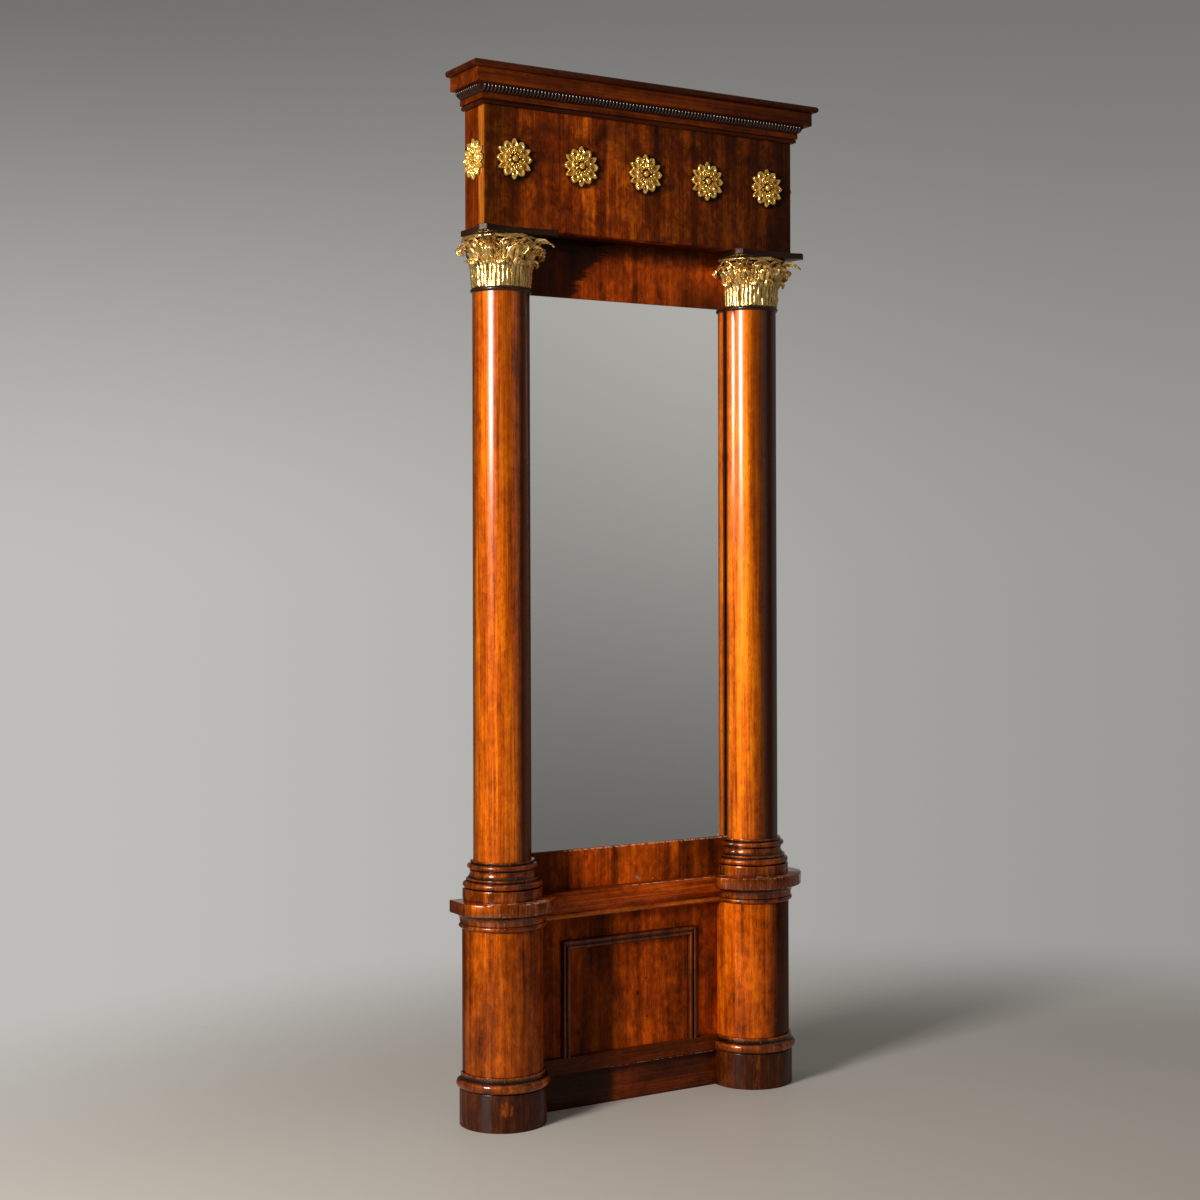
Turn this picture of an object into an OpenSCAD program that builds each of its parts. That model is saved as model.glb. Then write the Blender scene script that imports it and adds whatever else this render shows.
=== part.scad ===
// Pier mirror: a tall wall mirror between two columns on round pedestals.
// Millimetres, +Z up. The origin is on the floor, in the middle of the
// width and of the depth. The wall plane is parallel to XZ, behind the piece.

/* [Columns in plan] */
// Distance between the two column axes
column_spacing = 667; // [600:1:800]
// Distance of a column axis from the wall plane
axis_d = 27; // [24:0.5:28]

/* [Pedestals] */
// Height of the foot drum
foot_h = 82; // [50:1:120]
// Radius of the foot drum
foot_r = 97; // [93:0.5:103]
// Height of the big round of the foot ring
foot_torus_h = 26; // [18:1:32]
// Outer radius of the foot ring
foot_torus_r = 105; // [98:0.5:112]
// Height of the small fillet on the foot ring
foot_fillet_h = 10; // [5:1:16]
// Radius of that fillet
foot_fillet_r = 94; // [91:0.5:97]
// Height of the plain pedestal drum
pedestal_h = 313; // [220:1:420]
// Radius of the pedestal drum
pedestal_r = 90; // [84:0.5:92]
// Height of the bead at the top of the drum
pedestal_bead_h = 12.5; // [8:0.5:18]
// Outer radius of that bead
pedestal_bead_r = 98; // [95:0.5:102]
// Height of the bevel under the cap slab
cap_bevel_h = 23.5; // [14:0.5:34]
// Radius at the foot of the bevel
cap_bevel_r = 95; // [91:0.5:97]
// Thickness of the cap slab
cap_slab_h = 27; // [18:1:40]
// Half width of the cap slab
cap_half_w = 117; // [112:0.5:124]
// How far in front of the axis the straight sides of the slab end
cap_side_front = 38; // [28:1:50]
// How far in front of the axis the bowed front reaches
cap_front = 113; // [106:0.5:113]

/* [Column base] */
// Height of the round plinth
base_plinth_h = 23.5; // [14:0.5:34]
// Radius of the round plinth
base_plinth_r = 89; // [86:0.5:94]
// Height of the lower torus
base_torus_h = 16.5; // [10:0.5:24]
// Outer radius of the lower torus
base_torus_r = 88.5; // [85:0.5:94]
// Height of the fillet over the lower torus
base_fillet_h = 6; // [3:0.5:9]
// Radius of that fillet
base_fillet_r = 81; // [78:0.5:84]
// Height of the hollow between the fillets
scotia_h = 13.5; // [8:0.5:18]
// Radius at the bottom of the hollow
scotia_r = 70; // [67:0.5:71]
// Height of the fillet over the hollow
neck_fillet_h = 5.5; // [3:0.5:9]
// Radius of that fillet
neck_fillet_r = 72.5; // [71.5:0.5:76]
// Height of the upper torus
upper_torus_h = 12.5; // [8:0.5:18]
// Outer radius of the upper torus
upper_torus_r = 78.5; // [76:0.5:84]
// Height of the top fillet
top_fillet_h = 6.5; // [3:0.5:10]
// Radius of the top fillet
top_fillet_r = 71; // [67:0.5:73]

/* [Shaft and capital] */
// Length of the plain shaft
shaft_h = 1240.5; // [900:0.5:1600]
// Radius at the foot of the shaft
shaft_r_bottom = 64.5; // [62.5:0.5:66]
// Radius at the top of the shaft
shaft_r_top = 63.5; // [62:0.5:65]
// Height of the necking ring
ring_h = 10.5; // [7:0.5:16]
// Outer radius of the necking ring
ring_r = 68; // [67:0.5:72]
// Height of the capital without its abacus
capital_h = 112; // [108:1:120]
// Radius of the bell at its foot
bell_r = 57; // [54:0.5:58]
// Radius of the bell's lip
bell_lip_r = 72; // [68:0.5:76]
// Leaves in a full ring round the foot of the bell
lower_leaves = 8; // [8:2:12]
// Height of the lower leaves
lower_leaf_h = 52; // [46:1:56]
// Reach of the lower leaf tips from the axis
lower_leaf_r = 77; // [73:0.5:80]
// Height of the upper leaves above the foot of the bell
upper_leaf_h = 88; // [82:1:92]
// Reach of the upper leaves from the axis
upper_leaf_r = 94; // [90:0.5:97]
// Reach of the corner leaves from the axis
corner_leaf_r = 122; // [114:0.5:124]
// Thickness of a leaf
leaf_t = 4; // [3:0.5:5]
// Thickness of the abacus
abacus_h = 13; // [9:0.5:20]
// Distance from the axis to the middle of a cut corner, along X
abacus_half = 91; // [86:0.5:94]
// Width of a cut corner
abacus_cut = 18; // [12:1:24]
// Depth of the hollow in each side of the abacus
abacus_hollow = 13; // [7:0.5:16]

/* [Centre of the lower case] */
// Thickness of the base board
base_board_t = 19; // [15:0.5:24]
// Thickness of the base strip
base_strip_t = 29; // [25:0.5:34]
// Thickness of the dado board
dado_t = 18; // [14:0.5:22]
// Distance from a column axis to the panel moulding
panel_margin = 154.5; // [130:0.5:170]
// Distance from the panel moulding up to the ledge bead
panel_top_gap = 53; // [30:1:90]
// Width of the panel moulding
panel_mould_w = 18; // [12:0.5:24]
// How far the panel moulding stands out
panel_mould_t = 11; // [7:0.5:15]
// Depth of the ledge board from the wall
ledge_d = 48; // [43:0.5:56]
// Depth of the ledge at the foot of its bevel
ledge_bevel_d = 34; // [30:0.5:40]
// Depth of the ledge bead from the wall
ledge_bead_d = 37; // [32:0.5:42]

/* [Mirror frame] */
// Height of the bottom rail
bottom_rail_h = 88; // [78:1:104]
// Height of the top rail
top_rail_h = 131; // [126:1:133]
// Thickness of both rails
rail_t = 24; // [22:0.5:27]
// Distance of the glass face from the wall plane
glass_front = 17.5; // [16:0.5:19]
// Thickness of the glass
glass_t = 5; // [3:0.5:6]
// Cover of the rails over the glass edge
rebate = 8; // [5:0.5:12]
// Width of a stile beside the glass edge
stile_w = 20; // [14:0.5:24]
// Thickness of the back boards
back_board_t = 7; // [5:0.5:8]
// Number of back boards
back_boards_n = 4; // [2:1:6]
// Number of holding blocks down each side
blocks_n = 4; // [3:1:6]

/* [Frieze box] */
// Height of the frieze
frieze_h = 262; // [220:1:300]
// How far the frieze reaches out past a column axis
frieze_over = 73.5; // [70:0.5:84]
// Depth of the frieze
frieze_d = 93; // [92:0.5:97]
// Thickness of the front board
frieze_front_t = 30; // [24:0.5:34]
// Thickness of the side boards
frieze_side_t = 20; // [16:0.5:24]
// Thickness of the soffit and back boards
frieze_inner_t = 14; // [12:0.5:18]
// Length of the tongue that joins a side board to the front
tongue_l = 10; // [6:0.5:14]
// Distance from the frieze end to the outer rosette
rosette_side = 71; // [60:1:90]
// Distance from the top of the frieze to the rosette centres
rosette_drop = 112; // [80:1:140]
// Radius of a rosette to its pointed petals
rosette_r = 44; // [38:0.5:46]
// Round petals of a rosette
round_petals = 6; // [5:1:7]
// How far a rosette's boss stands out
rosette_t = 14; // [11:0.5:18]
// Radius of a rosette's pin
rosette_pin_r = 3; // [2:0.5:5]
// Length of a rosette's pin
rosette_pin_l = 14; // [8:0.5:18]

/* [Cornice] */
// Height of the foot moulding
cornice_foot_h = 10; // [7:0.5:14]
// How far the foot moulding stands out from the frieze
cornice_foot_out = 10; // [8:0.5:11]
// Height of the lower fascia
cornice_fascia_h = 12; // [8:0.5:18]
// How far the lower fascia stands out
cornice_fascia_out = 12.5; // [11.5:0.5:14]
// Height of the course of small reeds
reeds_h = 17; // [13:0.5:21]
// How far the reeds stand out at their foot
reeds_foot_out = 16; // [15:0.5:18]
// How far the reeds stand out at their top
reeds_top_out = 28; // [25:0.5:31]
// Pitch of the small reeds
reed_pitch = 8.7; // [7.5:0.1:12]
// Height of the corona fascia
corona_h = 30; // [22:1:44]
// How far the corona stands out
corona_out = 36.5; // [32:0.5:42]
// Thickness of the top slab
slab_h = 15; // [10:0.5:20]
// How far the top slab stands out
slab_out = 48; // [47.5:0.5:56]

/* [Joints and fixings] */
// Clearance between a piece and its housing
clearance = 0.3; // [0.1:0.1:0.5]
// Radius of the round dowels
dowel_r = 14; // [10:0.5:16]
// Length of a dowel on each side of its joint
dowel_reach = 20; // [10:1:22]
// How near to the column axis the boards are housed
housing_x = 30; // [26:1:38]
// Width of a hanging plate
plate_w = 60; // [50:1:80]
// Height of a hanging plate
plate_h = 34; // [28:1:44]
// Thickness of a hanging plate
plate_t = 3; // [2.5:0.5:4]
// Distance from the frieze end to a hanging plate's centre
plate_side = 107; // [80:1:160]
// Radius of the hanging hole
hang_hole_r = 6; // [4:0.5:7]
// Radius of a plate screw's shank
screw_r = 2; // [1.5:0.25:2.5]
// Length of a plate screw
screw_l = 9; // [7:0.5:10]

/* [Hidden] */
$fn = 96;

// Colours of the woods and metals
mahogany = [0.42, 0.17, 0.07];
dark_wood = [0.10, 0.06, 0.05];
pine = [0.70, 0.55, 0.36];
gilt = [0.83, 0.63, 0.25];
silver = [0.75, 0.78, 0.80];
iron = [0.25, 0.25, 0.27];

// Plan
column_x = column_spacing / 2;
case_half = column_x - housing_x;
frieze_half = column_x + frieze_over;
depth = frieze_d + slab_out;
wall_y = depth / 2;
far = 600;
over = 1;

// Straight steps along a half-round nose and along the hollow of the column base
nose_steps = 12;
hollow_steps = 10;

// Heights of the joints, from the floor up
z_ring = foot_h;
z_drum = z_ring + foot_torus_h + foot_fillet_h;
z_bead = z_drum + pedestal_h;
z_cap = z_bead + pedestal_bead_h;
z_slab = z_cap + cap_bevel_h;
z_base = z_slab + cap_slab_h;
base_h = base_plinth_h + base_torus_h + base_fillet_h + scotia_h
    + neck_fillet_h + upper_torus_h + top_fillet_h;
z_shaft = z_base + base_h;
z_neck = z_shaft + shaft_h;
z_capital = z_neck + ring_h;
z_abacus = z_capital + capital_h;
z_frieze = z_abacus + abacus_h;
z_cornice = z_frieze + frieze_h;
z_fascia = z_cornice + cornice_foot_h;
z_reeds = z_fascia + cornice_fascia_h;
z_corona = z_reeds + reeds_h;
z_top_slab = z_corona + corona_h;

// Mirror opening
z_glass = z_base + bottom_rail_h - rebate;
z_opening_top = z_frieze - top_rail_h;
z_glass_top = z_opening_top + rebate;
glass_half = case_half - stile_w;
glass_back = glass_front - glass_t;
board_back = glass_back - back_board_t;

// Bores for the dowels
bore_r = dowel_r + clearance;

// Everything is drawn with the wall plane at y = 0 and then moved
module in_frame() {
    translate([0, wall_y, 0])
        children();
}

// Space behind the wall plane
module wall_space() {
    translate([-far, 0, -over])
        cube([2 * far, far, z_top_slab + far]);
}

// Turned piece on a column axis, cut flat at the wall
module on_axis(side) {
    difference() {
        translate([side * column_x, -axis_d, 0])
            children();
        wall_space();
    }
}

// Housing for a board's end, open at the back
module housing(side, t, z, h) {
    inner = case_half + clearance;
    x = side > 0 ? inner - far : -inner;
    translate([x, -t, z])
        cube([far, t + over, h]);
}

// Points along a half circle, from straight down to straight up
function half_round(r, steps) = [
    for (i = [0 : steps])
        [r * sin(180 * i / steps), -r * cos(180 * i / steps)]
];

// Round ring section with a half-round nose, before it is turned
module nosed(r, h) {
    nose = [for (p = half_round(h / 2, nose_steps)) [r - h / 2 + p[0], h / 2 + p[1]]];
    polygon(concat([[0, h], [0, 0]], nose));
}

// ---- Pedestals ----

module foot(side) {
    difference() {
        on_axis(side)
            difference() {
                cylinder(r = foot_r, h = foot_h);
                translate([0, 0, z_ring - dowel_reach])
                    cylinder(r = bore_r, h = dowel_reach + over);
            }
        housing(side, base_board_t, -over, foot_h + 2 * over);
    }
}

module foot_ring(side) {
    difference() {
        on_axis(side)
            translate([0, 0, z_ring])
                difference() {
                    rotate_extrude() {
                        nosed(foot_torus_r, foot_torus_h);
                        translate([0, foot_torus_h])
                            square([foot_fillet_r, foot_fillet_h]);
                    }
                    translate([0, 0, -over])
                        cylinder(r = bore_r, h = z_drum - z_ring + 2 * over);
                }
        housing(side, base_strip_t, z_ring - over, z_drum - z_ring + 2 * over);
    }
}

module pedestal(side) {
    difference() {
        on_axis(side)
            translate([0, 0, z_drum])
                difference() {
                    cylinder(r = pedestal_r, h = pedestal_h);
                    translate([0, 0, -over])
                        cylinder(r = bore_r, h = dowel_reach + clearance + over);
                    translate([0, 0, pedestal_h - dowel_reach])
                        cylinder(r = bore_r, h = dowel_reach + over);
                }
        housing(side, dado_t, z_drum - over, pedestal_h + 2 * over);
    }
}

module pedestal_bead(side) {
    difference() {
        on_axis(side)
            translate([0, 0, z_bead])
                difference() {
                    rotate_extrude()
                        nosed(pedestal_bead_r, pedestal_bead_h);
                    translate([0, 0, -over])
                        cylinder(r = bore_r, h = pedestal_bead_h + 2 * over);
                }
        ledge_bead_bar(case_half + clearance);
    }
}

// Outline of the cap slab: straight sides and a bowed front
module cap_outline() {
    rise = cap_front - cap_side_front;
    bow_r = (cap_half_w * cap_half_w + rise * rise) / (2 * rise);
    intersection() {
        translate([-cap_half_w, -cap_front])
            square([2 * cap_half_w, cap_front + axis_d]);
        translate([0, bow_r - cap_front])
            circle(r = bow_r, $fn = 160);
    }
}

// The bevel under the slab flares to just inside the slab's bowed front
module cap(side) {
    reveal = 2;
    bevel_top = cap_front - reveal;
    difference() {
        on_axis(side)
            difference() {
                union() {
                    translate([0, 0, z_cap])
                        cylinder(r1 = cap_bevel_r, r2 = bevel_top, h = cap_bevel_h);
                    translate([0, 0, z_slab])
                        linear_extrude(cap_slab_h)
                            cap_outline();
                }
                translate([0, 0, z_cap - over])
                    cylinder(r = bore_r, h = z_base - z_cap + 2 * over);
            }
        ledge_bar(case_half + clearance);
    }
}

// ---- Columns ----

// Hollow between the fillets of the column base
module scotia_section() {
    round = scotia_h / 2;
    scotia_foot_r = base_fillet_r - 1;
    hollow = [for (p = half_round(round, hollow_steps)) [scotia_r + round - p[0], round + p[1]]];
    intersection() {
        polygon(concat([[0, scotia_h], [0, 0]], hollow));
        polygon([[0, 0], [scotia_foot_r, 0], [neck_fillet_r, scotia_h], [0, scotia_h]]);
    }
}

module column_base_section() {
    z1 = base_plinth_h;
    z2 = z1 + base_torus_h;
    z3 = z2 + base_fillet_h;
    z4 = z3 + scotia_h;
    z5 = z4 + neck_fillet_h;
    z6 = z5 + upper_torus_h;
    square([base_plinth_r, base_plinth_h]);
    translate([0, z1])
        nosed(base_torus_r, base_torus_h);
    translate([0, z2])
        square([base_fillet_r, base_fillet_h]);
    translate([0, z3])
        scotia_section();
    translate([0, z4])
        square([neck_fillet_r, neck_fillet_h]);
    translate([0, z5])
        nosed(upper_torus_r, upper_torus_h);
    translate([0, z6])
        square([top_fillet_r, top_fillet_h]);
}

module column_base(side) {
    difference() {
        on_axis(side)
            translate([0, 0, z_base])
                difference() {
                    rotate_extrude()
                        column_base_section();
                    translate([0, 0, -over])
                        cylinder(r = bore_r, h = dowel_reach + clearance + over);
                    translate([0, 0, base_h - dowel_reach])
                        cylinder(r = bore_r, h = dowel_reach + over);
                }
        housing(side, rail_t, z_base - over, bottom_rail_h + over);
        housing(side, glass_front, z_base, base_h + over);
    }
}

module shaft(side) {
    difference() {
        on_axis(side)
            translate([0, 0, z_shaft])
                difference() {
                    cylinder(r1 = shaft_r_bottom, r2 = shaft_r_top, h = shaft_h);
                    translate([0, 0, -over])
                        cylinder(r = bore_r, h = dowel_reach + clearance + over);
                    translate([0, 0, shaft_h - dowel_reach])
                        cylinder(r = bore_r, h = dowel_reach + over);
                }
        housing(side, rail_t, z_base, bottom_rail_h);
        housing(side, glass_front, z_base, z_neck - z_base + over);
        housing(side, rail_t, z_opening_top, z_frieze - z_opening_top);
    }
}

module necking(side) {
    difference() {
        on_axis(side)
            translate([0, 0, z_neck])
                difference() {
                    rotate_extrude()
                        nosed(ring_r, ring_h);
                    translate([0, 0, -over])
                        cylinder(r = bore_r, h = ring_h + 2 * over);
                }
        housing(side, glass_front, z_neck - over, ring_h + 2 * over);
        housing(side, rail_t, z_opening_top, z_frieze - z_opening_top);
    }
}

// ---- Capitals ----

// Section of the bell with its lip
module bell_section() {
    lip = 9;
    throat = capital_h * 0.45;
    flare = [bell_r + 4, capital_h * 0.7];
    polygon([
        [0, 0], [bell_r, 0], [bell_r, throat], flare,
        [bell_lip_r, capital_h - lip], [bell_lip_r, capital_h], [0, capital_h]
    ]);
}

// Section of a leaf that stands up against the bell and rolls outward
module leaf_section(foot_r, tip_r, h) {
    run = tip_r - foot_r;
    polygon([
        [foot_r - leaf_t, 0],
        [foot_r, 0],
        [foot_r + run * 0.1, h * 0.5],
        [foot_r + run * 0.42, h * 0.78],
        [tip_r - leaf_t * 0.6, h * 0.84],
        [tip_r, h * 0.9],
        [tip_r - leaf_t * 0.7, h],
        [foot_r + run * 0.4, h],
        [foot_r + run * 0.08, h * 0.9],
        [foot_r - leaf_t, h * 0.74]
    ]);
}

// Face of a leaf: broad at the foot, a rounded top
module leaf_face(w, h) {
    translate([-w / 2, -over])
        square([w, h - w * 0.36 + over]);
    translate([0, h - w * 0.36])
        scale([1, 0.8])
            circle(r = w / 2);
}

// Ring of leaves cut out of one turned shell
module leaf_ring(count, start, foot_r, tip_r, h) {
    w = 2 * foot_r * tan(180 / count) - 1;
    intersection() {
        rotate_extrude()
            leaf_section(foot_r, tip_r, h);
        for (i = [0 : count - 1])
            rotate([0, 0, start + i * 360 / count])
                rotate([90, 0, 90])
                    linear_extrude(tip_r + over)
                        leaf_face(w, h);
    }
}

// Pointed leaf under a corner of the abacus
module corner_leaf() {
    foot = bell_r - 4;
    foot_w = 30;
    low = capital_h * 0.55;
    high = capital_h * 0.94;
    bend = [foot + 24, low + 14];
    neck = corner_leaf_r - 16;
    shoulder = corner_leaf_r - 40;
    tip_z = capital_h * 0.84;
    tip_t = 4;
    tip_w = 5;
    intersection() {
        rotate([90, 0, 0])
            linear_extrude(foot_w, center = true)
                polygon([
                    [foot, low], bend, [neck, tip_z - tip_t], [corner_leaf_r, tip_z - tip_t],
                    [corner_leaf_r, tip_z], [neck, tip_z + tip_t], [bend[0] + tip_t, high], [foot, high]
                ]);
        linear_extrude(capital_h)
            polygon([
                [0, -foot_w / 2], [shoulder, -foot_w * 0.42], [neck, -foot_w / 4],
                [corner_leaf_r, -tip_w / 2], [corner_leaf_r, tip_w / 2],
                [neck, foot_w / 4], [shoulder, foot_w * 0.42], [0, foot_w / 2]
            ]);
    }
}

module capital(side) {
    lower_foot = bell_r + 4;
    upper_foot = bell_r + 1.5;
    difference() {
        on_axis(side)
            translate([0, 0, z_capital])
                difference() {
                    union() {
                        rotate_extrude()
                            bell_section();
                        leaf_ring(8, 0, upper_foot, upper_leaf_r, upper_leaf_h);
                        leaf_ring(lower_leaves, 180 / lower_leaves, lower_foot, lower_leaf_r, lower_leaf_h);
                        for (a = [-135, -45, 45, 135])
                            rotate([0, 0, a])
                                corner_leaf();
                    }
                    translate([0, 0, -over])
                        cylinder(r = bore_r, h = dowel_reach + clearance + over);
                    translate([0, 0, capital_h - dowel_reach])
                        cylinder(r = bore_r, h = dowel_reach + over);
                }
        housing(side, rail_t, z_opening_top, z_frieze - z_opening_top);
    }
}

// Outline of the abacus: cut corners and hollowed sides
module abacus_outline() {
    half = abacus_half + abacus_cut / 2 * cos(45);
    horn = abacus_half - abacus_cut / 2 * cos(45);
    hollow_r = (horn * horn + abacus_hollow * abacus_hollow) / (2 * abacus_hollow);
    difference() {
        polygon([
            [horn, -half], [half, -horn], [half, horn], [horn, half],
            [-horn, half], [-half, horn], [-half, -horn], [-horn, -half]
        ]);
        for (a = [0, 90, 180, 270])
            rotate(a)
                translate([half - abacus_hollow + hollow_r, 0])
                    circle(r = hollow_r, $fn = 160);
    }
}

module abacus(side) {
    difference() {
        on_axis(side)
            translate([0, 0, z_abacus])
                difference() {
                    linear_extrude(abacus_h)
                        abacus_outline();
                    translate([0, 0, -over])
                        cylinder(r = bore_r, h = abacus_h + 2 * over);
                }
        housing(side, rail_t, z_abacus - over, abacus_h + 2 * over);
    }
}

// ---- Centre of the lower case ----

// Bar along X, given by its section in depth and height
module bar(half) {
    rotate([90, 0, 90])
        linear_extrude(2 * half, center = true)
            children();
}

module base_board_piece() {
    translate([-case_half, -base_board_t, 0])
        cube([2 * case_half, base_board_t, foot_h]);
}

module base_strip_piece() {
    translate([-case_half, -base_strip_t, z_ring])
        cube([2 * case_half, base_strip_t, z_drum - z_ring]);
}

module dado_piece() {
    translate([-case_half, -dado_t, z_drum])
        cube([2 * case_half, dado_t, pedestal_h]);
}

module ledge_bead_bar(half) {
    nose = pedestal_bead_h / 2;
    translate([0, 0, z_bead])
        bar(half) {
            translate([nose - ledge_bead_d, 0])
                square([ledge_bead_d - nose, pedestal_bead_h]);
            translate([nose - ledge_bead_d, nose])
                circle(r = nose);
        }
}

module ledge_bar(half) {
    translate([0, 0, z_cap])
        bar(half)
            polygon([
                [0, 0], [-ledge_bevel_d, 0], [-ledge_d, cap_bevel_h],
                [-ledge_d, cap_bevel_h + cap_slab_h], [0, cap_bevel_h + cap_slab_h]
            ]);
}

// Section of the panel moulding: two round lines on a flat back
module panel_section() {
    line_r = panel_mould_w * 0.19;
    flat_t = panel_mould_t - line_r;
    sunk_t = flat_t * 0.6;
    square([panel_mould_w, sunk_t]);
    for (x = [line_r, panel_mould_w - line_r])
        translate([x, flat_t]) {
            circle(r = line_r);
            translate([-line_r, -flat_t])
                square([2 * line_r, flat_t]);
        }
}

panel_half = column_x - panel_margin;
panel_top = z_bead - panel_top_gap;

// Upright strip on the right, mitred at the top
module panel_upright() {
    translate([panel_half, -dado_t, 0])
        difference() {
            translate([0, 0, z_drum])
                linear_extrude(panel_top - z_drum)
                    rotate(180)
                        panel_section();
            translate([0, 0, panel_top])
                rotate([0, -45, 0])
                    translate([-far, -far / 2, 0])
                        cube([2 * far, far, far]);
        }
}

// Top strip, mitred at both ends
module panel_top_strip() {
    difference() {
        translate([0, -dado_t, panel_top])
            rotate([0, 90, 0])
                linear_extrude(2 * panel_half, center = true)
                    mirror([0, 1])
                        panel_section();
        for (s = [-1, 1])
            translate([s * panel_half, -dado_t, panel_top])
                rotate([0, -s * 45, 0])
                    translate([-far, -far / 2, -far])
                        cube([2 * far, far, far]);
    }
}

// ---- Mirror frame ----

module bottom_rail_piece() {
    difference() {
        translate([-case_half, -rail_t, z_base])
            cube([2 * case_half, rail_t, bottom_rail_h]);
        translate([-far, -glass_front, z_glass])
            cube([2 * far, far, rebate + over]);
    }
}

module top_rail_piece() {
    difference() {
        translate([-case_half, -rail_t, z_opening_top])
            cube([2 * case_half, rail_t, top_rail_h]);
        translate([-far, -glass_front, z_opening_top - over])
            cube([2 * far, far, rebate + over]);
    }
}

module stile_piece() {
    translate([case_half - stile_w, -glass_front, z_glass])
        cube([stile_w, glass_front, z_glass_top - z_glass]);
}

module glass_piece() {
    half = glass_half - clearance;
    translate([-half, -glass_front, z_glass])
        cube([2 * half, glass_t, z_glass_top - z_glass - clearance]);
}

module back_boards_piece() {
    half = glass_half - clearance;
    gap = 1;
    step = (z_glass_top - z_glass) / back_boards_n;
    for (i = [0 : back_boards_n - 1])
        translate([-half, -glass_back, z_glass + i * step])
            cube([2 * half, back_board_t, step - gap]);
}

module glass_blocks_piece() {
    block_w = 18;
    block_l = 40;
    step = (z_glass_top - z_glass) / blocks_n;
    for (s = [-1, 1], i = [0 : blocks_n - 1])
        translate([s * (glass_half - block_w / 2), -board_back / 2, z_glass + (i + 0.5) * step])
            cube([block_w, board_back, block_l], center = true);
}

// ---- Frieze box ----

// Centres of the front rosettes
rosette_pitch = (frieze_half - rosette_side) / 2;
z_rosette = z_cornice - rosette_drop;
tongue_t = frieze_side_t / 3;

module rosette_holes() {
    depth_of_hole = rosette_pin_l + clearance;
    for (i = [-2 : 2])
        translate([i * rosette_pitch, -frieze_d - over, z_rosette])
            rotate([-90, 0, 0])
                cylinder(r = rosette_pin_r + clearance, h = depth_of_hole + over, $fn = 32);
    for (s = [-1, 1])
        translate([s * (frieze_half + over), -frieze_d / 2, z_rosette])
            rotate([0, -s * 90, 0])
                cylinder(r = rosette_pin_r + clearance, h = depth_of_hole + over, $fn = 32);
}

module frieze_front_piece() {
    difference() {
        translate([-frieze_half, -frieze_d, z_frieze])
            cube([2 * frieze_half, frieze_front_t, frieze_h]);
        for (s = [-1, 1])
            translate([
                s * (frieze_half - frieze_side_t / 2) - tongue_t / 2 - clearance,
                frieze_front_t - frieze_d - tongue_l - clearance,
                z_frieze - over
            ])
                cube([tongue_t + 2 * clearance, tongue_l + clearance + over, frieze_h + 2 * over]);
        rosette_holes();
    }
}

module frieze_side_piece() {
    difference() {
        union() {
            translate([frieze_half - frieze_side_t, frieze_front_t - frieze_d, z_frieze])
                cube([frieze_side_t, frieze_d - frieze_front_t, frieze_h]);
            translate([
                frieze_half - frieze_side_t / 2 - tongue_t / 2,
                frieze_front_t - frieze_d - tongue_l,
                z_frieze
            ])
                cube([tongue_t, tongue_l + over, frieze_h]);
        }
        rosette_holes();
    }
}

module soffit_piece() {
    difference() {
        translate([frieze_side_t - frieze_half, frieze_front_t - frieze_d, z_frieze])
            cube([2 * (frieze_half - frieze_side_t), frieze_d - frieze_front_t, frieze_inner_t]);
        for (s = [-1, 1])
            translate([s * column_x, -axis_d, z_frieze - over])
                cylinder(r = bore_r, h = frieze_inner_t + 2 * over);
    }
}

plate_x = frieze_half - plate_side;
plate_z = z_cornice - frieze_h / 4;
screw_head_r = screw_r * 2;
screw_head_t = plate_t / 2;
screw_x = plate_w / 2 - screw_head_r * 2;

module frieze_back_piece() {
    z0 = z_frieze + frieze_inner_t;
    pocket = [plate_w + 2 * clearance, plate_t + over, plate_h + 2 * clearance];
    hook_room = 4;
    web_t = 3;
    pilot_d = screw_l + clearance + plate_t / 2;
    difference() {
        translate([frieze_side_t - frieze_half, -frieze_inner_t, z0])
            cube([2 * (frieze_half - frieze_side_t), frieze_inner_t, z_cornice - z0]);
        for (s = [-1, 1])
            translate([s * plate_x, 0, plate_z]) {
                translate([-pocket[0] / 2, -plate_t, -pocket[2] / 2])
                    cube(pocket);
                rotate([90, 0, 0])
                    cylinder(r = hang_hole_r + hook_room, h = frieze_inner_t - web_t);
                for (t = [-1, 1])
                    translate([t * screw_x, 0, 0])
                        rotate([90, 0, 0])
                            cylinder(r = screw_r + clearance, h = pilot_d, $fn = 32);
            }
    }
}

module glue_blocks_piece() {
    leg = 26;
    block_l = 60;
    blocks = 5;
    step = 2 * (frieze_half - frieze_side_t) / blocks;
    for (i = [0 : blocks - 1])
        translate([
            frieze_side_t - frieze_half + (i + 0.5) * step,
            frieze_front_t - frieze_d,
            z_frieze + frieze_inner_t
        ])
            rotate([90, 0, 90])
                linear_extrude(block_l, center = true)
                    polygon([[0, 0], [leg, 0], [0, leg]]);
}

// ---- Rosettes ----

// Round petals: their radius, their centres and the height of their rims
petal_r = rosette_r * 0.25;
petal_mid = rosette_r * 0.94 - petal_r;
rim_t = rosette_t * 0.55;

// Circle about a petal's centre
module petal_outline(r) {
    translate([petal_mid, 0])
        circle(r = r, $fn = 40);
}

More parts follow.
